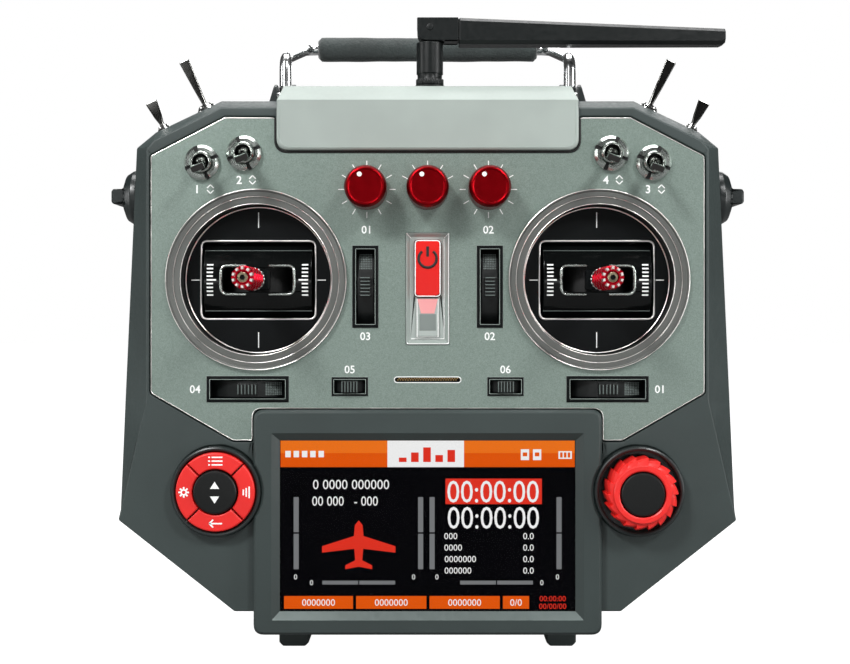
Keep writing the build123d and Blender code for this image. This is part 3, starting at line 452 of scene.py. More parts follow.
def clear(name, colour, roughness, transmission, **inputs):
    """Clear moulded plastic with faint flow lines."""
    made = material(name, colour, roughness, transmission_weight=transmission, ior=1.46, **inputs)
    shade(made, roughness=spread(made, noise(made, 2.5), roughness * 0.6, roughness * 1.5))
    emboss(made, noise(made, 3.0, stretch=(1, 1, 0.3)), 0.02)


SCREEN_INKS = {
    "white": (245, 245, 245),
    "orange": (228, 88, 14),
    "amber": (240, 116, 30),
    "red": (226, 52, 36),
    "grey": (120, 122, 124),
    "black": (5, 5, 7),
}


def mix_paints():
    """Every material: name, colour, roughness and, for plastics, the depth of the grain in millimetres."""
    plastic("dark_shell", (50, 59, 58), 0.5, 0.010, specular=0.4)
    plastic("rear_shell", (50, 58, 58), 0.56, 0.02, grain=0.4, specular=0.4)
    plastic("grey_cover", (146, 155, 150), 0.42, 0.006, vary=0.03)
    plastic("dark_bezel", (48, 57, 56), 0.42, 0.008, specular=0.4)
    # Lighter, part-metallic grey for the bezel's lower inner slope: a painted reflection.
    plastic("sill_reflection", (94, 104, 102), 0.34, 0.006, metallic=0.4)
    plastic("gimbal_black", (7, 10, 11), 0.4, 0.004, grain=0.5, specular=0.12)
    plastic("lever_tip", (16, 14, 12), 0.35, 0.004)
    plastic("drum_black", (8, 10, 10), 0.13, 0.001, grain=0.5, specular=0.22)
    plastic("deep_black", (8, 9, 9), 0.6, 0.01, grain=0.5)
    plastic("trim_black", (16, 19, 19), 0.36, 0.008, specular=0.35)
    # Light grey for thin lines along edges: painted highlights.
    plastic("bright_edge", (150, 162, 156), 0.35, 0.004)
    # Lighter grey for ridges on the drum and trims: painted highlights.
    plastic("ridge_grey", (84, 94, 91), 0.4, 0.01)
    # Grey for the rough patch on the large trims' strips: a painted reflection.
    plastic("patch_reflection_grey", (104, 114, 111), 0.5, 0.01)
    plastic("collar_black", (26, 32, 32), 0.32, 0.006)
    plastic("black_button", (9, 11, 11), 0.4, 0.012, grain=0.25, specular=0.3)
    plastic("red_key", (214, 30, 26), 0.4, 0.008)
    plastic("red_button", (206, 18, 12), 0.32, 0.004, grain=0.5, specular=0.35)
    plastic("red_knob", (126, 0, 8), 0.34, 0.0002, grain=0.2, vary=0.02, metallic=0.95)
    plastic("display_panel", (5, 5, 6), 0.25, 0.002, grain=0.2)
    plastic("soft_rubber", (30, 33, 33), 0.75, 0.03, grain=0.4)
    plastic("antenna_black", (13, 17, 17), 0.36, 0.006, grain=0.4, specular=0.3)
    plastic("circuit_board", (10, 74, 40), 0.4, 0.02, grain=0.6)
    plastic("battery_wrap", (36, 58, 120), 0.3, 0.05, grain=2.0)
    plastic("speaker_black", (14, 15, 15), 0.7, 0.03, grain=0.5)
    metal("chrome", (232, 232, 230), 0.09, depth=0.0003)
    metal("chrome_wire", (246, 248, 248), 0.2)
    metal("dark_chrome", (96, 96, 94), 0.16)
    metal("nickel", (186, 193, 188), 0.24, depth=0.0003)
    metal("screw_steel", (88, 88, 92), 0.35)
    metal("red_anodised", (176, 14, 34), 0.28)
    metal("bright_silver", (250, 246, 242), 0.36)
    metal("socket_metal", (150, 140, 116), 0.3)
    metal("speaker_mesh_metal", (214, 176, 120), 0.3)
    lathed_metal("brushed_ring", (114, 116, 113), 0.4)
    clear("pink_reflection", (226, 150, 150), 0.15, 0.1)
    clear("light_guide", (116, 126, 122), 0.12, 0.2)
    clear("clear_window", (172, 182, 177), 0.1, 0.3)
    clear("clear_lens", (4, 4, 5), 0.05, 0.0, alpha=0.04)
    printed("white_ink", (246, 248, 246))
    satin_plate()
    foam()
    for name, colour in SCREEN_INKS.items():
        glow("screen_" + name, colour)


# ---------------------------------------------------------------- housing
def housing():
    refined("front_housing", "dark_shell", 0.45, segments=3)
    plate_edge()
    banner()
    bezel()
    refined("feet", "dark_shell", 0.5, segments=3)
    refined("housing_screws", "screw_steel", 0.12)
    refined("rubber_grips", "soft_rubber", 0.3)
    for node in ("rear_housing", "battery_door", "module_cover"):
        dress(node, "rear_shell")
    dress("faceplate", "satin_plate")
    dress("battery_pack", "battery_wrap")
    dress("main_board", "circuit_board")
    dress("lcd_module", "display_panel")
    dress("screen_lens", "clear_lens")
    dress("speaker", "speaker_black")


def banner():
    """Light cover: an upright front with a bevelled lower edge and a sloping top, a black line below it that is
    painted shade in its gap, and a bright line along its bevel that is a painted highlight.
    """
    low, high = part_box("top_banner")
    face = on_face(Vector(((low.x + high.x) / 2, 0, low.z)))
    half = (high.x - low.x) / 2 / MM
    tall = (high.z - low.z) / MM
    crease = 15.7

    def outline(inset):
        w = half - inset
        right = [(w, inset), (w, crease - 4.0), (w - 0.2, crease)]
        left = [(-x, z) for x, z in right]
        return rounded(left[:1] + right + left[:0:-1], [3.8, 3.8, 2.0, 0.3, 0.3, 2.0], steps=8)

    def lower(inset):
        return sorted((x, z) for x, z in outline(inset) if z < 9.0)

    shape = bmesh.new()
    front = ((0, 0.5), (0, -0.75), (0.2, -1.2), (0.65, -1.5))
    skin(shape, [level(outline(inset), depth) for inset, depth in front])
    slope = [(-0.72, crease - 0.05), (-0.75, crease + 0.05), (8.0, tall), (19.6, tall), (19.6, tall - 4.7),
             (9.0, tall - 4.7), (0.5, crease - 2.0), (0.0, crease - 2.0)]
    end = [(half, 0.5), (half - 0.15, 0.2), (half - 0.5, 0.0)]
    loops = []
    for x, drop in [(-x, drop) for x, drop in end] + end[::-1]:
        loop = []
        for depth, z in slope:
            lean = 1.1 * max(0.0, z - crease) / (tall - crease)
            loop.append((x - copysign(lean, x), depth + 0.6 * drop, z - drop if z > crease + 0.2 else z))
        loops.append(loop)
    skin(shape, loops)
    piece("top_banner_shape", shape, "grey_cover", "top_banner", face, stands_in=True, angle=24)

    # A deep-black line just below the banner's lower edge: painted shade in the gap between banner and faceplate.
    gap_shade = bmesh.new()
    side = half + 0.4
    sunk = [(-side, 10.0)] + [(x * side / half, z - 0.4) for x, z in lower(0)] + [(side, 10.0)]
    tube(gap_shade, level(sunk, -0.05), 0.42)
    piece("banner_gap_shade", gap_shade, "deep_black", "front_housing", face)
    # A thin bright tube along the banner's lower bevel: a painted highlight.
    line = bmesh.new()
    side = half - 0.95
    tube(line, level([(-side, 14.0)] + lower(0.95) + [(side, 14.0)], -1.5), 0.11)
    piece("banner_bevel_highlight", line, "bright_edge", "top_banner", face)


def plate_edge():
    """Bright line where the faceplate's chamfer catches the light."""
    right = [(47.7, 159.2), (47.7, 169.5), (63.7, 169.5), (86.8, 157.5), (86.8, 83.2), (61.0, 68.3),
             (54.9, 68.3), (54.9, 78.3)]
    radii = [4.0, 1.0, 1.0, 1.2, 1.6, 2.0, 0.8, 3.0]
    path = rounded(right + [(-x, z) for x, z in reversed(right)], radii + radii[::-1], 0.12, steps=5)
    shape = bmesh.new()
    tube(shape, level(path, 0.03), 0.13, closed=True)
    piece("faceplate_edge", shape, "bright_silver", "faceplate", on_face(Vector()))


def notched_outline(inset):
    """Front outline of the display frame, cut back round the two collars."""
    low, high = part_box("screen_bezel")
    half = (high.x - low.x) / 2 / MM
    tall = (high.z - low.z) / MM
    collar_low, collar_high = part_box("nav_collars")
    pad_z = ((collar_low.z + collar_high.z) / 2 - low.z) / MM
    pad_x = collar_high.x / MM - COLLAR_RADIUS
    reach = COLLAR_RADIUS + 0.1
    wide = acos((pad_x - half) / reach)
    arc = [wide - 2 * wide * k / 16 for k in range(17)]
    right = [(pad_x - reach * cos(a), pad_z - reach * sin(a)) for a in arc]
    left = [(-x, z) for x, z in reversed(right)]
    corners = [(half, 0), *right, (half, tall), (-half, tall), *left, (-half, 0)]
    notch = [0.02] * len(right)
    return rounded(corners, [3.2, *notch, 3.2, 3.2, *notch, 3.2], inset, steps=5)


def bezel():
    """Display frame: a light outer chamfer, a flat front and four sloping faces down to the lens, the lower one
    painted lighter as a painted reflection.
    """
    low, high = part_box("screen_bezel")
    lens_low, lens_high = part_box("screen_lens")
    face = on_face(Vector(((low.x + high.x) / 2, 0, low.z)))
    front, lens_depth, back = -3.0, -1.2, 8.0
    margin = 2.9
    view_w = (lens_high.x - lens_low.x) / MM - 2 * margin
    view_h = (lens_high.z - lens_low.z) / MM - 2 * margin
    view_z = ((lens_low.z + lens_high.z) / 2 - low.z) / MM

    def view(grow, depth, radius=0.1):
        return level(box_outline(view_w + 2 * grow, view_h + 2 * grow, radius), depth, z=view_z)

    def on_sill(spot):
        return spot.y < lens_depth - 0.3 and spot.z < view_z - view_h / 2 - 0.2 and abs(spot.x) < view_w / 2

    shape = bmesh.new()
    chamfer = ((0, back), (0, front + 0.95), (0.1, front + 0.75), (0.75, front + 0.1), (0.95, front))
    skin(shape, [level(notched_outline(inset), depth) for inset, depth in chamfer], caps=False)
    slopes = skin(shape, [view(2.5, front, 0.4), view(2.35, front + 0.08), view(0.1, lens_depth - 0.1),
                          view(0, lens_depth), view(3.0, lens_depth), view(3.0, back)], caps=False)
    # The slope below the window takes the lighter grey: a painted reflection.
    repaint(slopes, on_sill)
    for depth in (front, back):
        rims = [edge for edge in shape.edges
                if len(edge.link_faces) == 1 and all(abs(v.co.y - depth) < 0.001 for v in edge.verts)]
        bmesh.ops.triangle_fill(shape, edges=rims, use_beauty=True, use_dissolve=False)
    piece("screen_bezel_shape", shape, ["dark_bezel", "sill_reflection"], "screen_bezel", face, stands_in=True,
          angle=24)


# ---------------------------------------------------------------- gimbals
DRUM_AXIS = 18.0         # depth of the drum's axis
DRUM_RADIUS = 15.7
STICK_TIP = -31.0
STICK_END_BACK = -8.0
DISC_BORE = 23.7


def gimbals():
    profile = [(28.4, -0.02), (28.4, -1.05), (28.3, -1.3), (28.05, -1.4), (27.75, -1.32), (27.55, -1.1),
               (26.2, -1.0), (26.05, -0.9), (25.95, -0.62), (25.8, -0.58), (23.9, -0.6), (23.65, -0.45),
               (23.55, 0.0), (23.58, 1.0), (23.6, 2.0), (23.6, 7.4), (22.4, 7.4), (22.4, 8.6), (26.5, 8.6),
               (26.5, -0.02)]
    refined("gimbal_frames", "gimbal_black", 0.2)
    for name in SIDES:
        face = on_face(joint_point(f"{name}_stick_horizontal"))
        ring = bmesh.new()
        faces = turned(ring, profile, steps=192, closed=True)
        # The ring's bore wall behind its face takes deep black: painted shade in the gap round the disc.
        repaint(faces, lambda spot: spot.y > 0.0 and hypot(spot.x, spot.z) < DISC_BORE)
        piece(f"{name}_gimbal_ring", ring, ["brushed_ring", "deep_black"], "gimbal_rings", face,
              stands_in=name == SIDES[0], angle=25)
        gimbal_trim_and_highlights(name, face)
        gimbal_marks(name, face)
        barrel(name, face)
        stick(name, face)


def gimbal_trim_and_highlights(name, face):
    """Thin bright lines round the disc, with three along the ring's edges that are painted highlights, and the
    chrome edge of its window.
    """
    shape = bmesh.new()
    lip = [(23.25, 5.45), (23.25, 5.1), (23.1, 5.0), (22.9, 5.1), (22.9, 5.45)]
    turned(shape, lip, steps=160, closed=True)
    # Three bright silver circles on the ring's edges: painted highlights.
    for radius, depth, thick in ((28.22, -1.3, 0.13), (26.0, -0.8, 0.1), (23.75, -0.5, 0.12)):
        tube(shape, level(circle(radius, 192), depth), thick, closed=True)
    tube(shape, level(box_outline(36.4, 24.8, 2.2, steps=8), 5.2), 0.34, steps=12, closed=True)
    piece(f"{name}_gimbal_trim_and_highlights", shape, "bright_silver", "toggle_bushings", face)


def gimbal_marks(name, face):
    """Four white cross-hair lines on the disc."""
    shape = bmesh.new()
    for sign in (-1, 1):
        bar(shape, sign * 19.8, 0, 3.1, 0.28, 5.34, 5.42)
        bar(shape, 0, sign * 19.05, 0.28, 4.9, 5.34, 5.42)
    piece(f"{name}_gimbal_marks", shape, "white_ink", "gimbal_frames", face)


def on_drum(z, proud=0.0):
    """Depth of the drum's curved front at a height above its axis."""
    return DRUM_AXIS - sqrt((DRUM_RADIUS + proud) ** 2 - z * z)


def barrel(name, face):
    """Curved drum, its white ladders, the bright corners round its slot, and two grey ridges that are painted
    highlights.
    """
    node = f"{name}_gimbal_barrel"
    refined(node, "drum_black", 0.25, segments=3)
    ladder = bmesh.new()
    for sign in (-1, 1):
        for step in range(-4, 5):
            width = 3.0 if step == 0 else 2.0
            x = sign * (15.0 - (width - 2.0) / 2)
            tilt = asin(step * 1.19 / DRUM_RADIUS)
            loops = []
            for proud in (0.05, -0.05):
                radius = DRUM_RADIUS + proud
                loops.append([(x + px, DRUM_AXIS - radius * cos(tilt + pz / DRUM_RADIUS),
                               radius * sin(tilt + pz / DRUM_RADIUS)) for px, pz in rectangle(width, 0.48)])
            skin(ladder, loops)
    piece(f"{name}_gimbal_ladder", ladder, "white_ink", node, face)
    trim = bmesh.new()
    for sign in (-1, 1):
        half = [(x, z) for x, z in box_outline(23.2, 9.1, 2.2, steps=8) if sign * x > 4.2]
        half.sort(key=lambda p: atan2(p[1], sign * p[0]))
        ends = [(sign * 3.6, half[0][1])] + half + [(sign * 3.6, half[-1][1])]
        tube(trim, [(x, on_drum(z, 0.1), z) for x, z in ends], 0.44, steps=12)
    piece(f"{name}_slot_trim", trim, "nickel", node, face)
    # Two thin ridges across the drum, painted light grey as the drum's highlight line.
    crease = bmesh.new()
    for z in (9.3, -9.8):
        tube(crease, [(-17.0, on_drum(z), z), (17.0, on_drum(z), z)], 0.12)
    piece(f"{name}_drum_ridge_highlight", crease, "ridge_grey", node, face)


def stick(name, face):
    """Shutter and shaft from the CAD, a square guide block, a lock nut and the turned stick end."""
    refined(f"{name}_stick", "deep_black", 0.15)
    block = bmesh.new()
    for near, far, width, height in ((3.5, 5.6, 7.6, 6.6), (3.1, 3.5, 7.0, 6.0)):
        plate(block, box_outline(width, height, 0.6), near, far)
    piece(f"{name}_stick_block", block, "gimbal_black", f"{name}_stick", face, bevel=0.15)
    nut = bmesh.new()
    front, back = STICK_END_BACK + 0.12, STICK_END_BACK + 2.48
    profile = [(1.5, front), (3.1, front), (3.4, front + 0.35), (3.4, back - 0.35), (3.1, back), (1.5, back)]

    def knurl(index, angle, radius, depth):
        return (radius + 0.1 * cos(18 * angle) if index in (2, 3) else radius), depth

    turned(nut, profile, steps=144, closed=True, shape=knurl)
    piece(f"{name}_stick_locknut", nut, "bright_silver", f"{name}_stick_end", face)
    stick_end(f"{name}_stick_end", face)


def stick_end(node, face):
    """Ten bright prongs round a socket, on a long red body with collars of knurling whose points have bright
    silver ends as painted glints.
    """
    shape = bmesh.new()
    front = STICK_TIP + 1.5
    pitch = 2.7
    rows = 8
    profile = [(AXIS, front + 0.5), (1.7, front + 0.5), (1.9, front), (3.15, front)]
    for row in range(rows):
        start = front + pitch * row
        profile += [(3.3, start + 0.15), (3.3, start + 1.35), (2.95, start + 1.65)]
        if row < rows - 1:
            profile += [(2.95, start + pitch - 0.15)]
    profile += [(2.95, STICK_END_BACK), (AXIS, STICK_END_BACK)]
    turned(shape, profile, steps=60)
    forward = Vector((0, -1, 0))
    for x, z in spokes(10, 0.5):
        out = Vector((x, 0, z))
        spike(shape, out * 2.72 + Vector((0, front + 0.1, 0)), forward, out, 1.6, 0.52, 0.34)
    # Each knurl point's end takes bright silver: painted glints.
    for row in range(rows):
        for x, z in spokes(14, 0.5 * (row % 2)):
            out = Vector((x, 0, z))
            foot = out * 3.2 + Vector((0, front + pitch * row + 0.75, 0))
            spike(shape, foot, out, forward, 0.29, 0.5, 0.26, paint=0)
    piece(f"{node}_shape", shape, ["red_anodised", "bright_silver"], node, face, stands_in=True, angle=30)
    socket = bmesh.new()
    corners = [Vector(corner) for corner in circle(0.85, 6)]
    hexagon = [tuple(corners[k // 8].lerp(corners[(k // 8 + 1) % 6], (k % 8) / 8)) for k in range(48)]
    outlines = [circle(1.5, 48), circle(1.5, 48), circle(1.35, 48), hexagon, hexagon]
    loops = [level(outline, STICK_TIP + step) for outline, step in zip(outlines, (2.1, 0.75, 0.6, 0.65, 2.1))]
    # The hex hole's walls and a disc at its bottom take deep black: painted shade in the recess.
    repaint(skin(socket, loops, closed=True), lambda spot: hypot(spot.x, spot.z) < 0.86)
    plate(socket, circle(1.0, 24), STICK_TIP + 1.9, STICK_TIP + 2.2, paint=1)
    piece(node.replace("end", "socket"), socket, ["socket_metal", "deep_black"], node, face)


def spokes(count, shift):
    """Unit directions spread evenly round the front-to-back axis."""
    return [polar(1, 2 * pi * (step + shift) / count) for step in range(count)]


# ---------------------------------------------------------------- knobs and toggles
def knobs():
    profile = [(AXIS, -11.6), (4.9, -11.65), (5.15, -11.85), (5.45, -12.0), (5.75, -11.9), (6.35, -10.95),
               (6.45, -10.6), (6.45, -10.4), (6.45, -1.1), (6.45, -0.9), (6.2, -0.5), (AXIS, -0.5)]

    def knurl(index, angle, radius, depth):
        return (radius + 0.1 * cos(48 * angle), depth) if index in (7, 8) else (radius, depth)

    dot_x, dot_z = polar(4.0, radians(90 + 26))
    for name in ("left_knob", "mode_selector_knob", "right_knob"):
        face = on_face(centre(name))
        shape = bmesh.new()
        turned(shape, profile, steps=192, shape=knurl)
        disc(shape, 3.0, -0.5, 1.0)
        piece(f"{name}_shape", shape, "red_knob", name, face, stands_in=True, angle=28)
        dot = bmesh.new()
        plate(dot, [(x + dot_x, z + dot_z) for x, z in circle(0.73, 32)], -11.72, -11.5)
        piece(f"{name}_pointer", dot, "white_ink", name, face)


def toggle_nut(bm, outer, hole, height, slot_half):
    """Round nut with four slots across its front, the slots' faces taking the second paint as painted shade."""
    profile = [(hole, 0.0), (hole, -height + 0.25), (hole + 0.25, -height), (outer - 0.9, -height),
               (outer - 0.35, -height + 0.5), (outer, -height + 0.9), (outer, 0.0)]

    def in_slot(angle):
        return abs((degrees(angle) + 45) % 90 - 45) < slot_half

    def slotted(index, angle, radius, depth):
        return radius, max(depth, -height + 1.0) if 1 <= index <= 5 and in_slot(angle) else depth

    faces = turned(bm, profile, steps=144, closed=True, shape=slotted)
    # Slot faces take deep black: painted shade in the slots.
    repaint(faces, lambda spot: in_slot(atan2(spot.z, spot.x)) and hypot(spot.x, spot.z) > hole + 0.1)


def bat(bm, sections):
    """A flat lever along negative depth, from (depth, width, thickness, corner radius) sections."""
    loops = [level(box_outline(*section, steps=5), depth) for depth, *section in sections]
    skin(bm, loops)[-1].material_index = 1


def toggles():
    for name in SIDES:
        for kind in ("inner", "outer"):
            face_toggle(f"{name}_{kind}_toggle")
        for kind, length, tip, nut_radius in (("long", 18.0, 3.5, 3.6), ("short", 10.6, 4.0, 2.7)):
            shoulder_toggle(f"{name}_{kind}_toggle", length, tip, nut_radius)
        refined(f"{name}_side_lever", "collar_black", 0.3, segments=3)


def face_toggle(name):
    """Slotted nut and bushing on the face, a black disc in the bore as painted shade, and a flat lever with a dark
    tip.
    """
    axis = JOINTS[f"{name}_throw"]["axis"]
    pivot = joint_point(f"{name}_throw")
    spin = Matrix.Rotation(atan2(axis[2], -axis[0]), 4, "Y")
    face = on_face(pivot)
    nut = bmesh.new()
    toggle_nut(nut, 5.5, 3.45, 2.2, 6.0)
    turned(nut, [(3.35, 0.0), (3.35, -3.4), (3.1, -3.7), (2.85, -3.7), (2.6, -3.4), (2.6, 2.5), (3.35, 2.5)],
           closed=True)
    piece(f"{name}_nut", nut, ["nickel", "deep_black"], "toggle_bushings", face, spin,
          stands_in=name == "left_inner_toggle", angle=25)
    # A deep-black disc inside the bushing: painted shade in its bore.
    bore_shade = bmesh.new()
    disc(bore_shade, 2.62, 1.2, 2.4)
    piece(f"{name}_well", bore_shade, "deep_black", "toggle_bushings", face, spin)
    lever = bmesh.new()
    bat(lever, [(1.6, 1.6, 1.6, 0.75), (0.6, 3.4, 3.4, 1.65), (-0.2, 4.0, 4.0, 1.95), (-1.2, 3.2, 3.2, 1.55),
                (-2.0, 2.3, 2.3, 1.1), (-3.6, 2.3, 2.1, 1.0), (-5.5, 2.7, 1.9, 0.8), (-9.0, 3.5, 1.95, 0.6),
                (-13.7, 4.2, 2.0, 0.5), (-14.1, 4.0, 1.8, 0.4)])
    rest_tilt = Matrix.Rotation(radians(14.0), 4, "X")
    piece(f"{name}_lever", lever, ["chrome", "lever_tip"], name, pivot, spin @ rest_tilt, stands_in=True,
          angle=25)


def shoulder_toggle(name, length, tip, nut_radius):
    """Slotted nut on the shoulder, and a dark lever with a bright end."""
    axis = JOINTS[f"{name}_throw"]["axis"]
    pivot = joint_point(f"{name}_throw")
    upright = Matrix.Rotation(atan2(-axis[2], axis[0]), 4, "Y") @ Matrix.Rotation(radians(-90), 4, "X")
    base = bmesh.new()
    toggle_nut(base, nut_radius, nut_radius - 0.95, 1.4, 7.0)
    turned(base, [(1.65, 0.5), (1.65, -2.0), (nut_radius - 1.3, -2.1), (nut_radius - 1.0, -1.8),
                  (nut_radius - 1.0, 0.5)], steps=72, closed=True)
    piece(f"{name}_base", base, ["chrome", "deep_black"], "toggle_bushings", pivot, upright, angle=25)
    lever = bmesh.new()
    bat(lever, [(1.0, 1.2, 1.2, 0.55), (0.0, 2.6, 2.6, 1.25), (-1.2, 1.9, 1.9, 0.9), (-3.0, 1.6, 1.6, 0.75),
                (-length * 0.5, (1.6 + tip) / 2 - 0.1, 1.7, 0.5), (-length + 0.4, tip - 0.05, 1.9, 0.4),
                (-length, tip - 0.35, 1.6, 0.3)])
    piece(f"{name}_lever", lever, ["dark_chrome", "chrome"], name, pivot, upright, stands_in=True, angle=25)


# ---------------------------------------------------------------- trims, power, speaker
# Length and width of each trim's slot, its frame's border, and the angle it is turned by.
TRIMS = {"upright": (23.4, 5.8, 1.2, -90), "level": (23.4, 5.8, 1.2, 0), "small": (9.7, 4.2, 0.85, 0)}


def trims():
    refined("trim_frames", "gimbal_black", 0.12)
    for name in SIDES:
        for kind, (length, width, border, angle) in TRIMS.items():
            trim = f"{name}_{kind}_trim"
            refined(trim, "trim_black", 0.12)
            face = on_face(joint_point(trim + "_rock"))
            spin = Matrix.Rotation(radians(angle), 4, "Y")
            # Thin light lines round each frame's outer edge and round the slot's bevel: painted highlights.
            edges = bmesh.new()
            outer = box_outline(length + 2 * border + 0.05, width + 2 * border + 0.05, 0.25, steps=3)
            inner = box_outline(length + 0.3, width + 0.3, 0.2, steps=3)
            tube(edges, level(outer, -0.06), 0.08, closed=True)
            tube(edges, level(inner, -0.6), 0.08, closed=True)
            piece(trim + "_edges", edges, "bright_edge", "trim_frames", face, spin)
            trim_grip(trim, face, spin, large=kind != "small")


def trim_grip(trim, face, spin, large):
    """Ridges on a trim's thumb piece, lighter grey as painted highlights, and the rough patch at the end of a
    large one's strip, grey as a painted reflection.
    """
    pitch = (6.0 if large else 5.1) / 5.5
    half = (2.9 if large else 3.3) / 2
    shape = bmesh.new()
    for step in range(6):
        x = (step - 2.5) * pitch
        ridge = [(x, -2.16, -half), (x, -2.2, -half + 0.3), (x, -2.2, half - 0.3), (x, -2.16, half)]
        tube(shape, ridge, 0.17)
    # Small grey points near the strip's end: a painted reflection.
    if large:
        radius = 20.0
        columns, rows = 9, 8
        for i in range(columns):
            angle = radians(16.5 + 1.75 * i)
            out = Vector((sin(angle), -cos(angle), 0))
            along = Vector((cos(angle), sin(angle), 0))
            for j in range(rows):
                middle = Vector((0, radius + 0.2, (j - (rows - 1) / 2) * 0.52))
                spike(shape, middle + out * (radius - 0.05), out, along, 0.16, 0.24, 0.12)
    piece(trim + "_grip", shape, ["ridge_grey", "patch_reflection_grey"], trim, face, spin)


def power():
    """Clear bevelled window with white lines on its edges as painted highlights, the red button with its sign, and
    the clear block under it.
    """
    refined("power_window", "clear_window", 0.12)
    refined("power_button", "red_button", 0.25, segments=3)
    middle = centre("power_button")
    face = on_face(middle)
    icon = bmesh.new()
    arc = [polar(2.8, radians(90 + 38 + k * (284 / 40))) for k in range(41)]
    tube(icon, level(arc, -0.94, z=3.1), 0.42)
    bar(icon, 0, 5.3, 0.85, 3.2, -1.05, -0.85)
    piece("power_icon", icon, "deep_black", "power_button", face)
    edge = bmesh.new()
    tube(edge, level(box_outline(7.75, 17.4, 1.1), -0.72), 0.2, closed=True)
    piece("power_button_edge", edge, "white_ink", "power_button", face)

    # White lines on the window's right and bottom edges, its inner corners and round the block: painted
    # highlights.
    rim = bmesh.new()
    window_low, window_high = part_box("power_window")
    low = (window_low.z - middle.z) / MM
    high = (window_high.z - middle.z) / MM
    half = (window_high.x - window_low.x) / 2 / MM
    outer, inner = -0.36, 0.75
    lines = [[(half - 0.25, outer, low + 0.3), (half - 0.25, outer, high - 0.3)],
             [(-half + 0.3, outer, low + 0.25), (half - 0.3, outer, low + 0.25)],
             [(-half + 1.7, inner, low + 1.8), (half - 1.7, inner, low + 1.8)],
             [(half - 1.7, inner, low + 1.8), (half - 1.7, inner, high - 2.0)]]
    for sign in (-1, 1):
        lines.append([(sign * (half - 0.3), outer, high - 0.25), (sign * (half - 1.6), inner, high - 1.7)])
    for line in lines:
        tube(rim, line, 0.12, steps=6)
    block_low, block_high = low + 2.4, -9.6
    block = [(-3.3, block_high), (-3.3, block_low), (3.3, block_low), (3.3, block_high)]
    tube(rim, level(block, -0.02), 0.16, steps=6)
    piece("power_window_highlights", rim, "white_ink", "power_window", face)
    tint = bmesh.new()
    plate(tint, [(-3.2, block_high + 0.1), (-2.1, block_high - 4.5), (2.1, block_high - 4.5),
                 (3.2, block_high + 0.1)], -0.08, 0.05)
    piece("power_reflection", tint, "pink_reflection", "power_window", face)
    square = bmesh.new()
    square_z = block_high - 7.3
    bar(square, 0, square_z, 5.2, 5.2, -0.06, 0.05)
    for sign in (-1, 1):
        bar(square, sign * 2.2, square_z, 0.5, 4.8, -0.14, 0.0)
        bar(square, 0, square_z + sign * 1.6, 3.4, 0.4, -0.14, 0.0)
    piece("power_light_guide", square, "light_guide", "power_window", face)


def speaker_slot():
    """White line round the slot and the bright mesh behind it."""
    below_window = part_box("power_window")[0].z - 11.05 * MM
    face = on_face(Vector((centre("speaker").x, 0, below_window)))
    outline = bmesh.new()
    half, radius = 10.35, 0.8
    path = []
    for sign, start in ((1, -90), (-1, 90)):
        for step in range(13):
            x, z = polar(radius + 0.1, radians(start + 15 * step))
            path.append((sign * (half - radius) + x, z))
    tube(outline, level(path, -0.01), 0.15, closed=True)
    piece("speaker_outline", outline, "white_ink", "faceplate", face)
    mesh = bmesh.new()
    for step in range(24):
        for sign in (-1, 1):
            bar(mesh, -9.2 + 0.8 * step + 0.2 * sign, 0.25 * sign, 0.3, 0.3, 3.8, 4.0, turn=45)
    piece("speaker_mesh", mesh, "speaker_mesh_metal", "speaker", face)


# ---------------------------------------------------------------- pads
COLLAR_RADIUS = 14.1
PAD_RADIUS = 9.7         # from the pad's middle to the middle of a key


def pads():
    profile = [(12.6, 2.5), (12.6, -2.3), (12.75, -2.8), (13.1, -3.1), (13.5, -3.2), (13.85, -3.05),
               (COLLAR_RADIUS, -2.6), (COLLAR_RADIUS, 4.0), (11.0, 4.0), (11.0, 2.5)]
    low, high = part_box("nav_collars")
    middle_z = (low.z + high.z) / 2
    pads_at = {"left": on_face(Vector((low.x + COLLAR_RADIUS * MM, 0, middle_z))),
               "right": on_face(Vector((high.x - COLLAR_RADIUS * MM, 0, middle_z)))}
    for name, face in pads_at.items():
        collar = bmesh.new()
        turned(collar, profile, steps=144, closed=True)
        disc(collar, 11.2, 2.5, 4.0, steps=96)
        piece(f"{name}_pad_collar", collar, "collar_black", "nav_collars", face, stands_in=name == SIDES[0],
              angle=25)
    for key in ("right", "up", "left", "down"):
        refined(f"menu_key_{key}", "red_key", 0.2, segments=3)
    menu_icons(pads_at["left"])
    encoder()
    for node, side, front in (("page_button", "left", -4.8), ("enter_button", "right", -9.8)):
        cap = bmesh.new()
        turned(cap, [(AXIS, front + 0.02), (5.9, front + 0.03), (6.35, front + 0.14), (6.65, front + 0.4),
                     (6.8, front + 0.85), (6.8, 1.4), (AXIS, 1.4)], steps=128)
        piece(f"{node}_cap", cap, "black_button", node, pads_at[side], stands_in=True, angle=25)


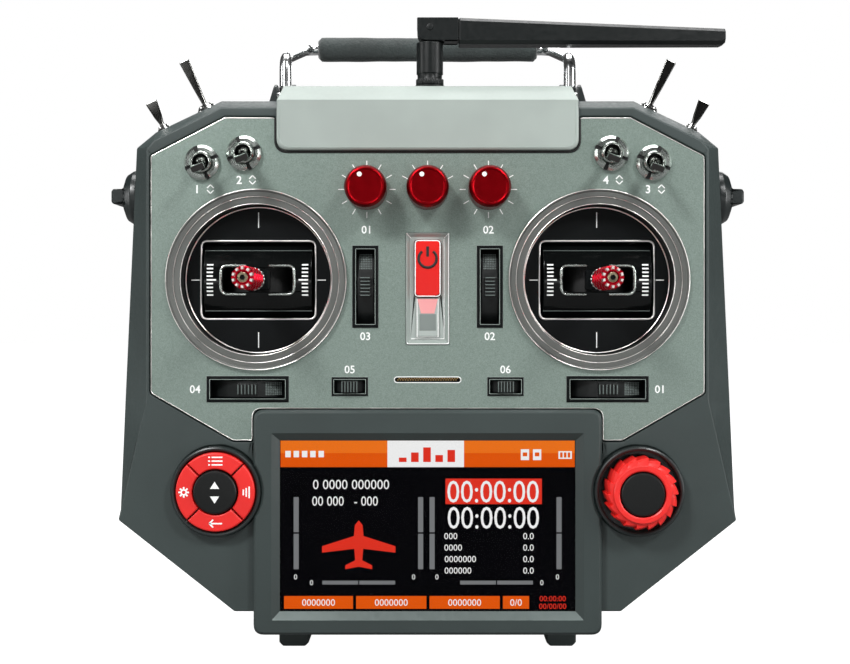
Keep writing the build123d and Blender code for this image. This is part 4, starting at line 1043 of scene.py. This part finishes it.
def encoder():
    """Scroll ring: a smooth front band inside eighteen ratchet-shaped teeth."""
    button_low, button_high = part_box("enter_button")
    bore = (button_high.x - button_low.x) / 2 / MM + 0.3
    teeth, parts = 18, 6

    def ratchet(root, crest):
        points = []
        for step in range(teeth * parts):
            tooth, part = divmod(step, parts)
            rise = part / (parts - 1)
            points.append(polar(crest + (root - crest) * rise, 2 * pi * (tooth + 0.97 * rise) / teeth))
        return points

    sections = [(bore, bore, 1.8), (10.2, 10.2, 1.8), (10.2, 10.2, 0.5), (10.3, 11.3, 0.5),
                (10.3, 11.3, -7.4), (9.6, 10.7, -8.5), (9.1, 9.1, -8.8), (9.0, 9.0, -9.3), (8.7, 8.7, -9.6),
                (bore + 0.4, bore + 0.4, -9.6), (bore, bore, -9.3)]
    shape = bmesh.new()
    skin(shape, [level(ratchet(root, crest), depth) for root, crest, depth in sections], closed=True)
    piece("encoder_ring_shape", shape, "red_key", "encoder_ring", on_face(centre("encoder_ring")),
          stands_in=True, angle=28)


def menu_icons(face):
    """Plain pictograms: list, gear, stack and return arrow, and two page arrows."""
    middles = {"up": (0, PAD_RADIUS), "down": (0, -PAD_RADIUS), "left": (-PAD_RADIUS, 0),
               "right": (PAD_RADIUS, 0), "page": (0, 0)}
    marks = {key: bmesh.new() for key in middles}
    grow = 1.3
    near, far = -4.04, -3.9
    for step in range(3):
        z = 0.9 - 0.9 * step
        bar(marks["up"], 0.5, z, 2.6, 0.34, near, far)
        bar(marks["up"], -1.4, z, 0.45, 0.34, near, far)
        bar(marks["right"], 0.7 - 0.7 * step, 0, 0.34, 2.8 - 0.7 * step, near, far)
    bar(marks["down"], 0.2, 0, 3.0, 0.36, near, far)
    for sign in (-1, 1):
        bar(marks["down"], -0.9, sign * 0.45, 1.3, 0.36, near, far, turn=sign * 45)
        plate(marks["page"], [(-1.1, sign * 0.9), (1.1, sign * 0.9), (0, sign * 2.6)], -4.82, -4.7)
    for step, (x, z) in enumerate(spokes(8, 0)):
        bar(marks["left"], x, z, 0.55, 0.4, near, far, turn=45 * step)
    turned(marks["left"], [(0.75, near), (0.42, near), (0.42, far), (0.75, far)], steps=32, closed=True)
    for key, shape in marks.items():
        for corner in shape.verts:
            corner.co.x = middles[key][0] + corner.co.x * grow
            corner.co.z = middles[key][1] + corner.co.z * grow
        piece(f"{key}_icon", shape, "white_ink", "page_button" if key == "page" else f"menu_key_{key}", face)


# ---------------------------------------------------------------- handle and antenna
def handle():
    pivot = joint_point("carry_handle_fold")
    stub = 4.0
    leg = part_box("carry_handle")[1].x / MM - stub
    grip = (centre("handle_grip") - pivot) / MM
    right = [(leg + stub, 0, 0), (leg, 0, 0), (leg, 0, 13.2), (leg - 2.9, grip.y, grip.z)]
    corners = right + [(-x, y, z) for x, y, z in reversed(right)]
    wire = bmesh.new()
    tube(wire, bent_path(corners, [2.2, 5.0, 5.0, 5.0, 5.0, 2.2]), 2.0, steps=32)
    piece("carry_handle_wire", wire, "chrome_wire", "carry_handle", pivot, stands_in=True)
    refined("handle_brackets", "collar_black", 0.3)
    foam_grip()


def foam_grip():
    """Foam sleeve, a little waisted and lumpy, with rolled ends."""
    low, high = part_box("handle_grip")
    half = (high.x - low.x) / 2 / MM
    radius = (high.z - low.z) / 2 / MM
    roll = 1.6
    stations = 64
    loops = []
    for i in range(stations + 1):
        x = -half + 2 * half * i / stations
        end = min(half - abs(x), roll) / roll
        swell = -0.12 + 0.08 * sin(x * 0.16) + 0.04 * sin(x * 0.5 + 1.0)
        reach = (radius + swell) * (0.72 + 0.28 * sqrt(max(0.0, 1 - (1 - end) ** 2)))
        loops.append([(x, y, z) for y, z in circle(reach, 48)])
    shape = bmesh.new()
    skin(shape, loops)
    middle = (low + high) / 2
    sleeve = piece("handle_foam", shape, "foam_grip", "handle_grip", middle, stands_in=True, angle=60)


def antenna():
    """Swivel, and a blade with a forked, rounded root and a long tapered arm with cut corners."""
    dress("antenna_socket", "antenna_black")
    refined("antenna_swivel", "antenna_black", 0.12)
    elbow = joint_point("antenna_elbow")
    low, high = [(corner - elbow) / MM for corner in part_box("antenna_blade")]
    root, fork = 9.3, 4.1
    foot = low.z + 1.2

    def block(x_low, x_high, z_low, z_high, half):
        plate(shape, [(x_low, z_low), (x_high, z_low), (x_high, z_high), (x_low, z_high)], -half, half)

    shape = bmesh.new()
    cheek = [(low.x, foot), (root - 0.15, foot), (root - 0.15, high.z), (low.x, high.z)]
    for near, far in ((-fork, -1.8), (1.8, fork)):
        plate(shape, rounded(cheek, [3.5, 0.15, 0.15, 0.4], steps=8), near, far)
    block(4.6, root - 0.15, foot, high.z, fork - 0.02)
    block(root - 0.4, root + 0.4, foot + 0.4, high.z - 0.4, 3.8)
    sections = [(root + 0.1, 4.0, low.z + 0.3, high.z - 0.3), (root + 0.4, 4.3, low.z, high.z),
                (high.x - 1.4, 3.32, low.z, -0.14), (high.x - 0.15, 3.3, low.z + 0.6, -0.2),
                (high.x, 3.15, low.z + 0.75, -0.35)]
    cut = 1.1
    loops = []
    for x, deep, bottom, top in sections:
        corners = [(-deep, bottom + cut), (-deep + cut, bottom), (deep - cut, bottom), (deep, bottom + cut),
                   (deep, top - cut), (deep - cut, top), (-deep + cut, top), (-deep, top - cut)]
        loops.append([(x, y, z) for y, z in rounded(corners, 0.2, steps=3)])
    skin(shape, loops)
    piece("antenna_blade_shape", shape, "antenna_black", "antenna_blade", elbow, stands_in=True, bevel=0.12,
          angle=30)
    pin = bmesh.new()
    turned(pin, [(AXIS, -4.22), (0.85, -4.22), (1.05, -4.1), (1.05, -3.5), (AXIS, -3.5)], steps=48)
    piece("elbow_pin", pin, "nickel", "antenna_swivel", elbow)


# ---------------------------------------------------------------- printing on the face
def face_printing():
    """Scale ticks round the knobs, two small arrows at each toggle, and plain numbers."""
    shape = bmesh.new()
    near, far = -0.04, 0.02
    dial = range(0, 360, 30)
    scales = {"left_knob": dial, "right_knob": dial, "mode_selector_knob": (-62, -32, 0, 32, 62)}
    for node, angles in scales.items():
        middle = centre(node) / MM
        for angle in angles:
            x, z = polar(8.05, radians(90 - angle))
            bar(shape, middle.x + x, middle.z + z, 0.26, 1.9, near, far, turn=-angle)
    numbers = {"left_inner": "2", "left_outer": "1", "right_inner": "4", "right_outer": "3"}
    for toggle, number in numbers.items():
        point = joint_point(toggle + "_toggle_throw") / MM
        x, z = point.x, point.z - 8.2
        for sign in (-1, 1):
            for lean in (-1, 1):
                bar(shape, x + 2.6 + lean * 0.5, z + sign * 0.85, 1.5, 0.34, near, far, -lean * sign * 45)
        glyphs(shape, number, x - 1.6, z, 2.5, near, weight=0.05)
    labels = (("left_upright_trim", 0, -15.5, "03"), ("right_upright_trim", 0, -15.5, "02"),
              ("left_level_trim", -16.5, 0, "04"), ("right_level_trim", 16.5, 0, "01"),
              ("left_small_trim", 0, 5.4, "05"), ("right_small_trim", 0, 5.4, "06"),
              ("left_knob", 0, -12.6, "01"), ("right_knob", 0, -12.6, "02"))
    for node, dx, dz, text in labels:
        middle = centre(node) / MM
        glyphs(shape, text, middle.x + dx, middle.z + dz, 2.4, near, weight=0.04)
    piece("face_printing", shape, "white_ink", "faceplate", on_face(Vector()))


# ---------------------------------------------------------------- display
LAYER = 0.03             # each lit layer of the display lies this far in front of the last


def display():
    """A made-up telemetry page: bars, sliders, clocks and a plain aircraft sign."""
    low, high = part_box("lcd_module")
    middle = (low + high) / 2
    names = list(SCREEN_INKS)
    shape = bmesh.new()

    def fill(x_low, x_high, z_low, z_high, colour, layer):
        bar(shape, (x_low + x_high) / 2, (z_low + z_high) / 2, x_high - x_low, z_high - z_low,
            -LAYER * layer, -LAYER * (layer - 1) - 0.004, paint=names.index(colour))

    def digits(text, x, z, height, colour="white", layer=2, narrow=1.0):
        paint = names.index(colour)
        glyphs(shape, text, x, z, height, -LAYER * layer, thick=0.02, narrow=narrow, paint=paint)

    fill(-46.1, 46.1, -26.5, 26.5, "black", 1)
    fill(-46.1, 46.1, 18.2, 26.5, "orange", 2)
    fill(-46.1, 46.1, 22.6, 26.5, "amber", 3)
    fill(-12.6, 11.4, 18.2, 26.5, "white", 4)
    for step in range(5):
        fill(-9.0 + 3.8 * step, -6.6 + 3.8 * step, 19.8, 21.2 + 0.8 * ((step * 2) % 5), "red", 5)
        fill(-44.6 + 2.6 * step, -42.9 + 2.6 * step, 21.3, 23.3, "white", 5)
    for x in (29.2, 33.0):
        fill(x, x + 2.6, 20.4, 23.8, "white", 5)
        fill(x + 0.6, x + 2.0, 21.6, 22.8, "orange", 6)
    fill(41.0, 45.2, 20.8, 23.2, "white", 5)
    for step in range(3):
        fill(41.5 + 1.2 * step, 42.3 + 1.2 * step, 21.2, 22.8, "orange", 6)
    for x in (-41.2, -2.2, 1.4, 41.2):
        fill(x - 0.8, x + 0.8, -13.8, 8.8, "grey", 2)
        fill(x - 0.8, x + 0.8, -2.7, -2.2, "black", 3)
    for x in (-21.6, 21.6):
        fill(x - 11.4, x + 11.4, -18.6, -17.4, "grey", 2)
        fill(x - 0.2, x + 0.2, -18.6, -17.4, "black", 3)
    for x, z in ((-41.4, -16.2), (-4.4, -16.2), (2.9, -16.2), (40.7, -16.2), (-36.4, -18.0), (35.8, -18.0)):
        digits("0", x, z, 1.6)
    digits("0 0000 000000", -24.0, 12.8, 3.0, narrow=0.93)
    digits("00 000   - 000", -25.9, 7.6, 3.0, narrow=0.85)
    fill(5.6, 35.8, 6.6, 14.6, "red", 2)
    digits("00:00:00", 20.5, 10.6, 6.9, layer=3, narrow=0.86)
    digits("00:00:00", 20.6, 2.4, 6.9, narrow=0.86)
    for z, text in ((-3.4, "000"), (-7.0, "0000"), (-10.6, "0000000"), (-14.2, "000000")):
        digits(text, 5.0 + 0.75 * len(text), z, 2.0)
        digits("0.0", 31.6, z, 2.0)
    aircraft(shape, -21.6, -6.0, names.index("red"))
    for x_low, x_high, text in ((-45.0, -23.4, "0000000"), (-22.4, -0.4, "0000000"), (0.6, 22.6, "0000000"),
                                (23.6, 31.8, "0/0")):
        fill(x_low, x_high, -26.2, -22.2, "orange", 2)
        digits(text, (x_low + x_high) / 2, -24.2, 2.1, layer=3)
    digits("00:00:00", 39.2, -23.0, 1.7, "red")
    digits("00/00/00", 39.2, -25.4, 1.7, "red")
    piece("screen_picture", shape, ["screen_" + name for name in names], "lcd_module",
          Vector((middle.x, low.y, middle.z)))


def aircraft(bm, x, z, paint):
    """A plain top view of an aeroplane."""
    right = [(0, 7.5), (1.2, 6.0), (1.5, 2.6), (11.5, -0.6), (11.5, -2.6), (1.4, -1.4), (1.1, -5.0),
             (4.2, -6.6), (4.2, -7.8), (0, -7.0)]
    outline = right + [(-px, pz) for px, pz in right[-2:0:-1]]
    plate(bm, [(x + px, z + pz) for px, pz in outline], -2 * LAYER, -LAYER - 0.004, paint)


# ---------------------------------------------------------------- studio
def studio():
    """A white floor and sky to the camera, dim ones to the object, and eight lamps."""
    floor_mesh = bpy.data.meshes.new("floor")
    bm = bmesh.new()
    bm.faces.new([bm.verts.new((x, y, 0)) for x, y in circle(4.0, 64)])
    bm.to_mesh(floor_mesh)
    bm.free()
    white = (1, 1, 1, 1)
    paper = plastic("floor_paper", (120, 120, 120), 0.9, 0.02, grain=4.0, vary=0.01, emission_color=white)
    shade(paper, emission_strength=spread(paper, add(paper, "LightPath"), 0.02, 1.0, 0.0, 1.0))
    floor_mesh.materials.append(paper)
    in_scene("floor", floor_mesh)

    world = bpy.data.worlds.new("studio")
    bpy.context.scene.world = world
    world.use_nodes = True
    strength = spread(world, add(world, "LightPath"), 0.05, 1.0, 0.0, 1.0)
    feed(world, world.node_tree.nodes["Background"], {"color": white, "strength": strength})

    lamp("left_key", (-0.38, -0.60, 0.66), (-0.02, 0, 0.13), 0.16, 0.16, 6.0)
    lamp("right_key", (0.40, -0.58, 0.62), (0.04, 0, 0.13), 0.16, 0.16, 3.9)
    lamp("plate_glow", (-0.36, -0.70, 0.40), (-0.04, 0, 0.14), 0.22, 0.22, 0.5)
    lamp("low_fill", (0.05, -0.95, 0.08), (0, 0, 0.10), 0.9, 0.10, 0.8)
    lamp("left_strip", (-0.70, -0.20, 0.16), (0, 0, 0.11), 0.16, 0.6, 1.8)
    lamp("right_strip", (0.74, -0.30, 0.18), (0, 0, 0.11), 0.16, 0.6, 3.6)
    lamp("top_box", (0.0, 0.05, 0.85), (0, 0, 0.10), 0.6, 0.3, 6.0)
    lamp("back_box", (0.1, 0.9, 0.6), (0, 0, 0.1), 0.8, 0.5, 4.0)


def lamp(name, spot, aim, width, height, watts):
    """A rectangular lamp at a spot, aimed at a point, in metres."""
    light = bpy.data.lights.new(name, "AREA")
    light.shape = "RECTANGLE"
    light.size = width
    light.size_y = height
    light.energy = watts
    made = in_scene(name, light)
    made.location = spot
    made.rotation_mode = "QUATERNION"
    made.rotation_quaternion = (Vector(aim) - Vector(spot)).to_track_quat("-Z", "Y")


def camera():
    """The photograph's viewpoint: level, in front of the faceplate."""
    lens = bpy.data.cameras.new("camera")
    lens.sensor_width = 36.0
    lens.lens = 54.04
    lens.shift_x = -0.0031
    lens.shift_y = -0.0259
    lens.clip_start = 0.01
    made = in_scene("camera", lens)
    made.location = (0.0, FACE_Y - 0.4, 0.1092)
    made.rotation_euler = (radians(90), 0, 0)
    bpy.context.scene.camera = made
    bpy.context.scene.view_settings.view_transform = "Standard"


mix_paints()
housing()
gimbals()
knobs()
toggles()
trims()
power()
speaker_slot()
pads()
handle()
antenna()
face_printing()
display()
studio()
camera()
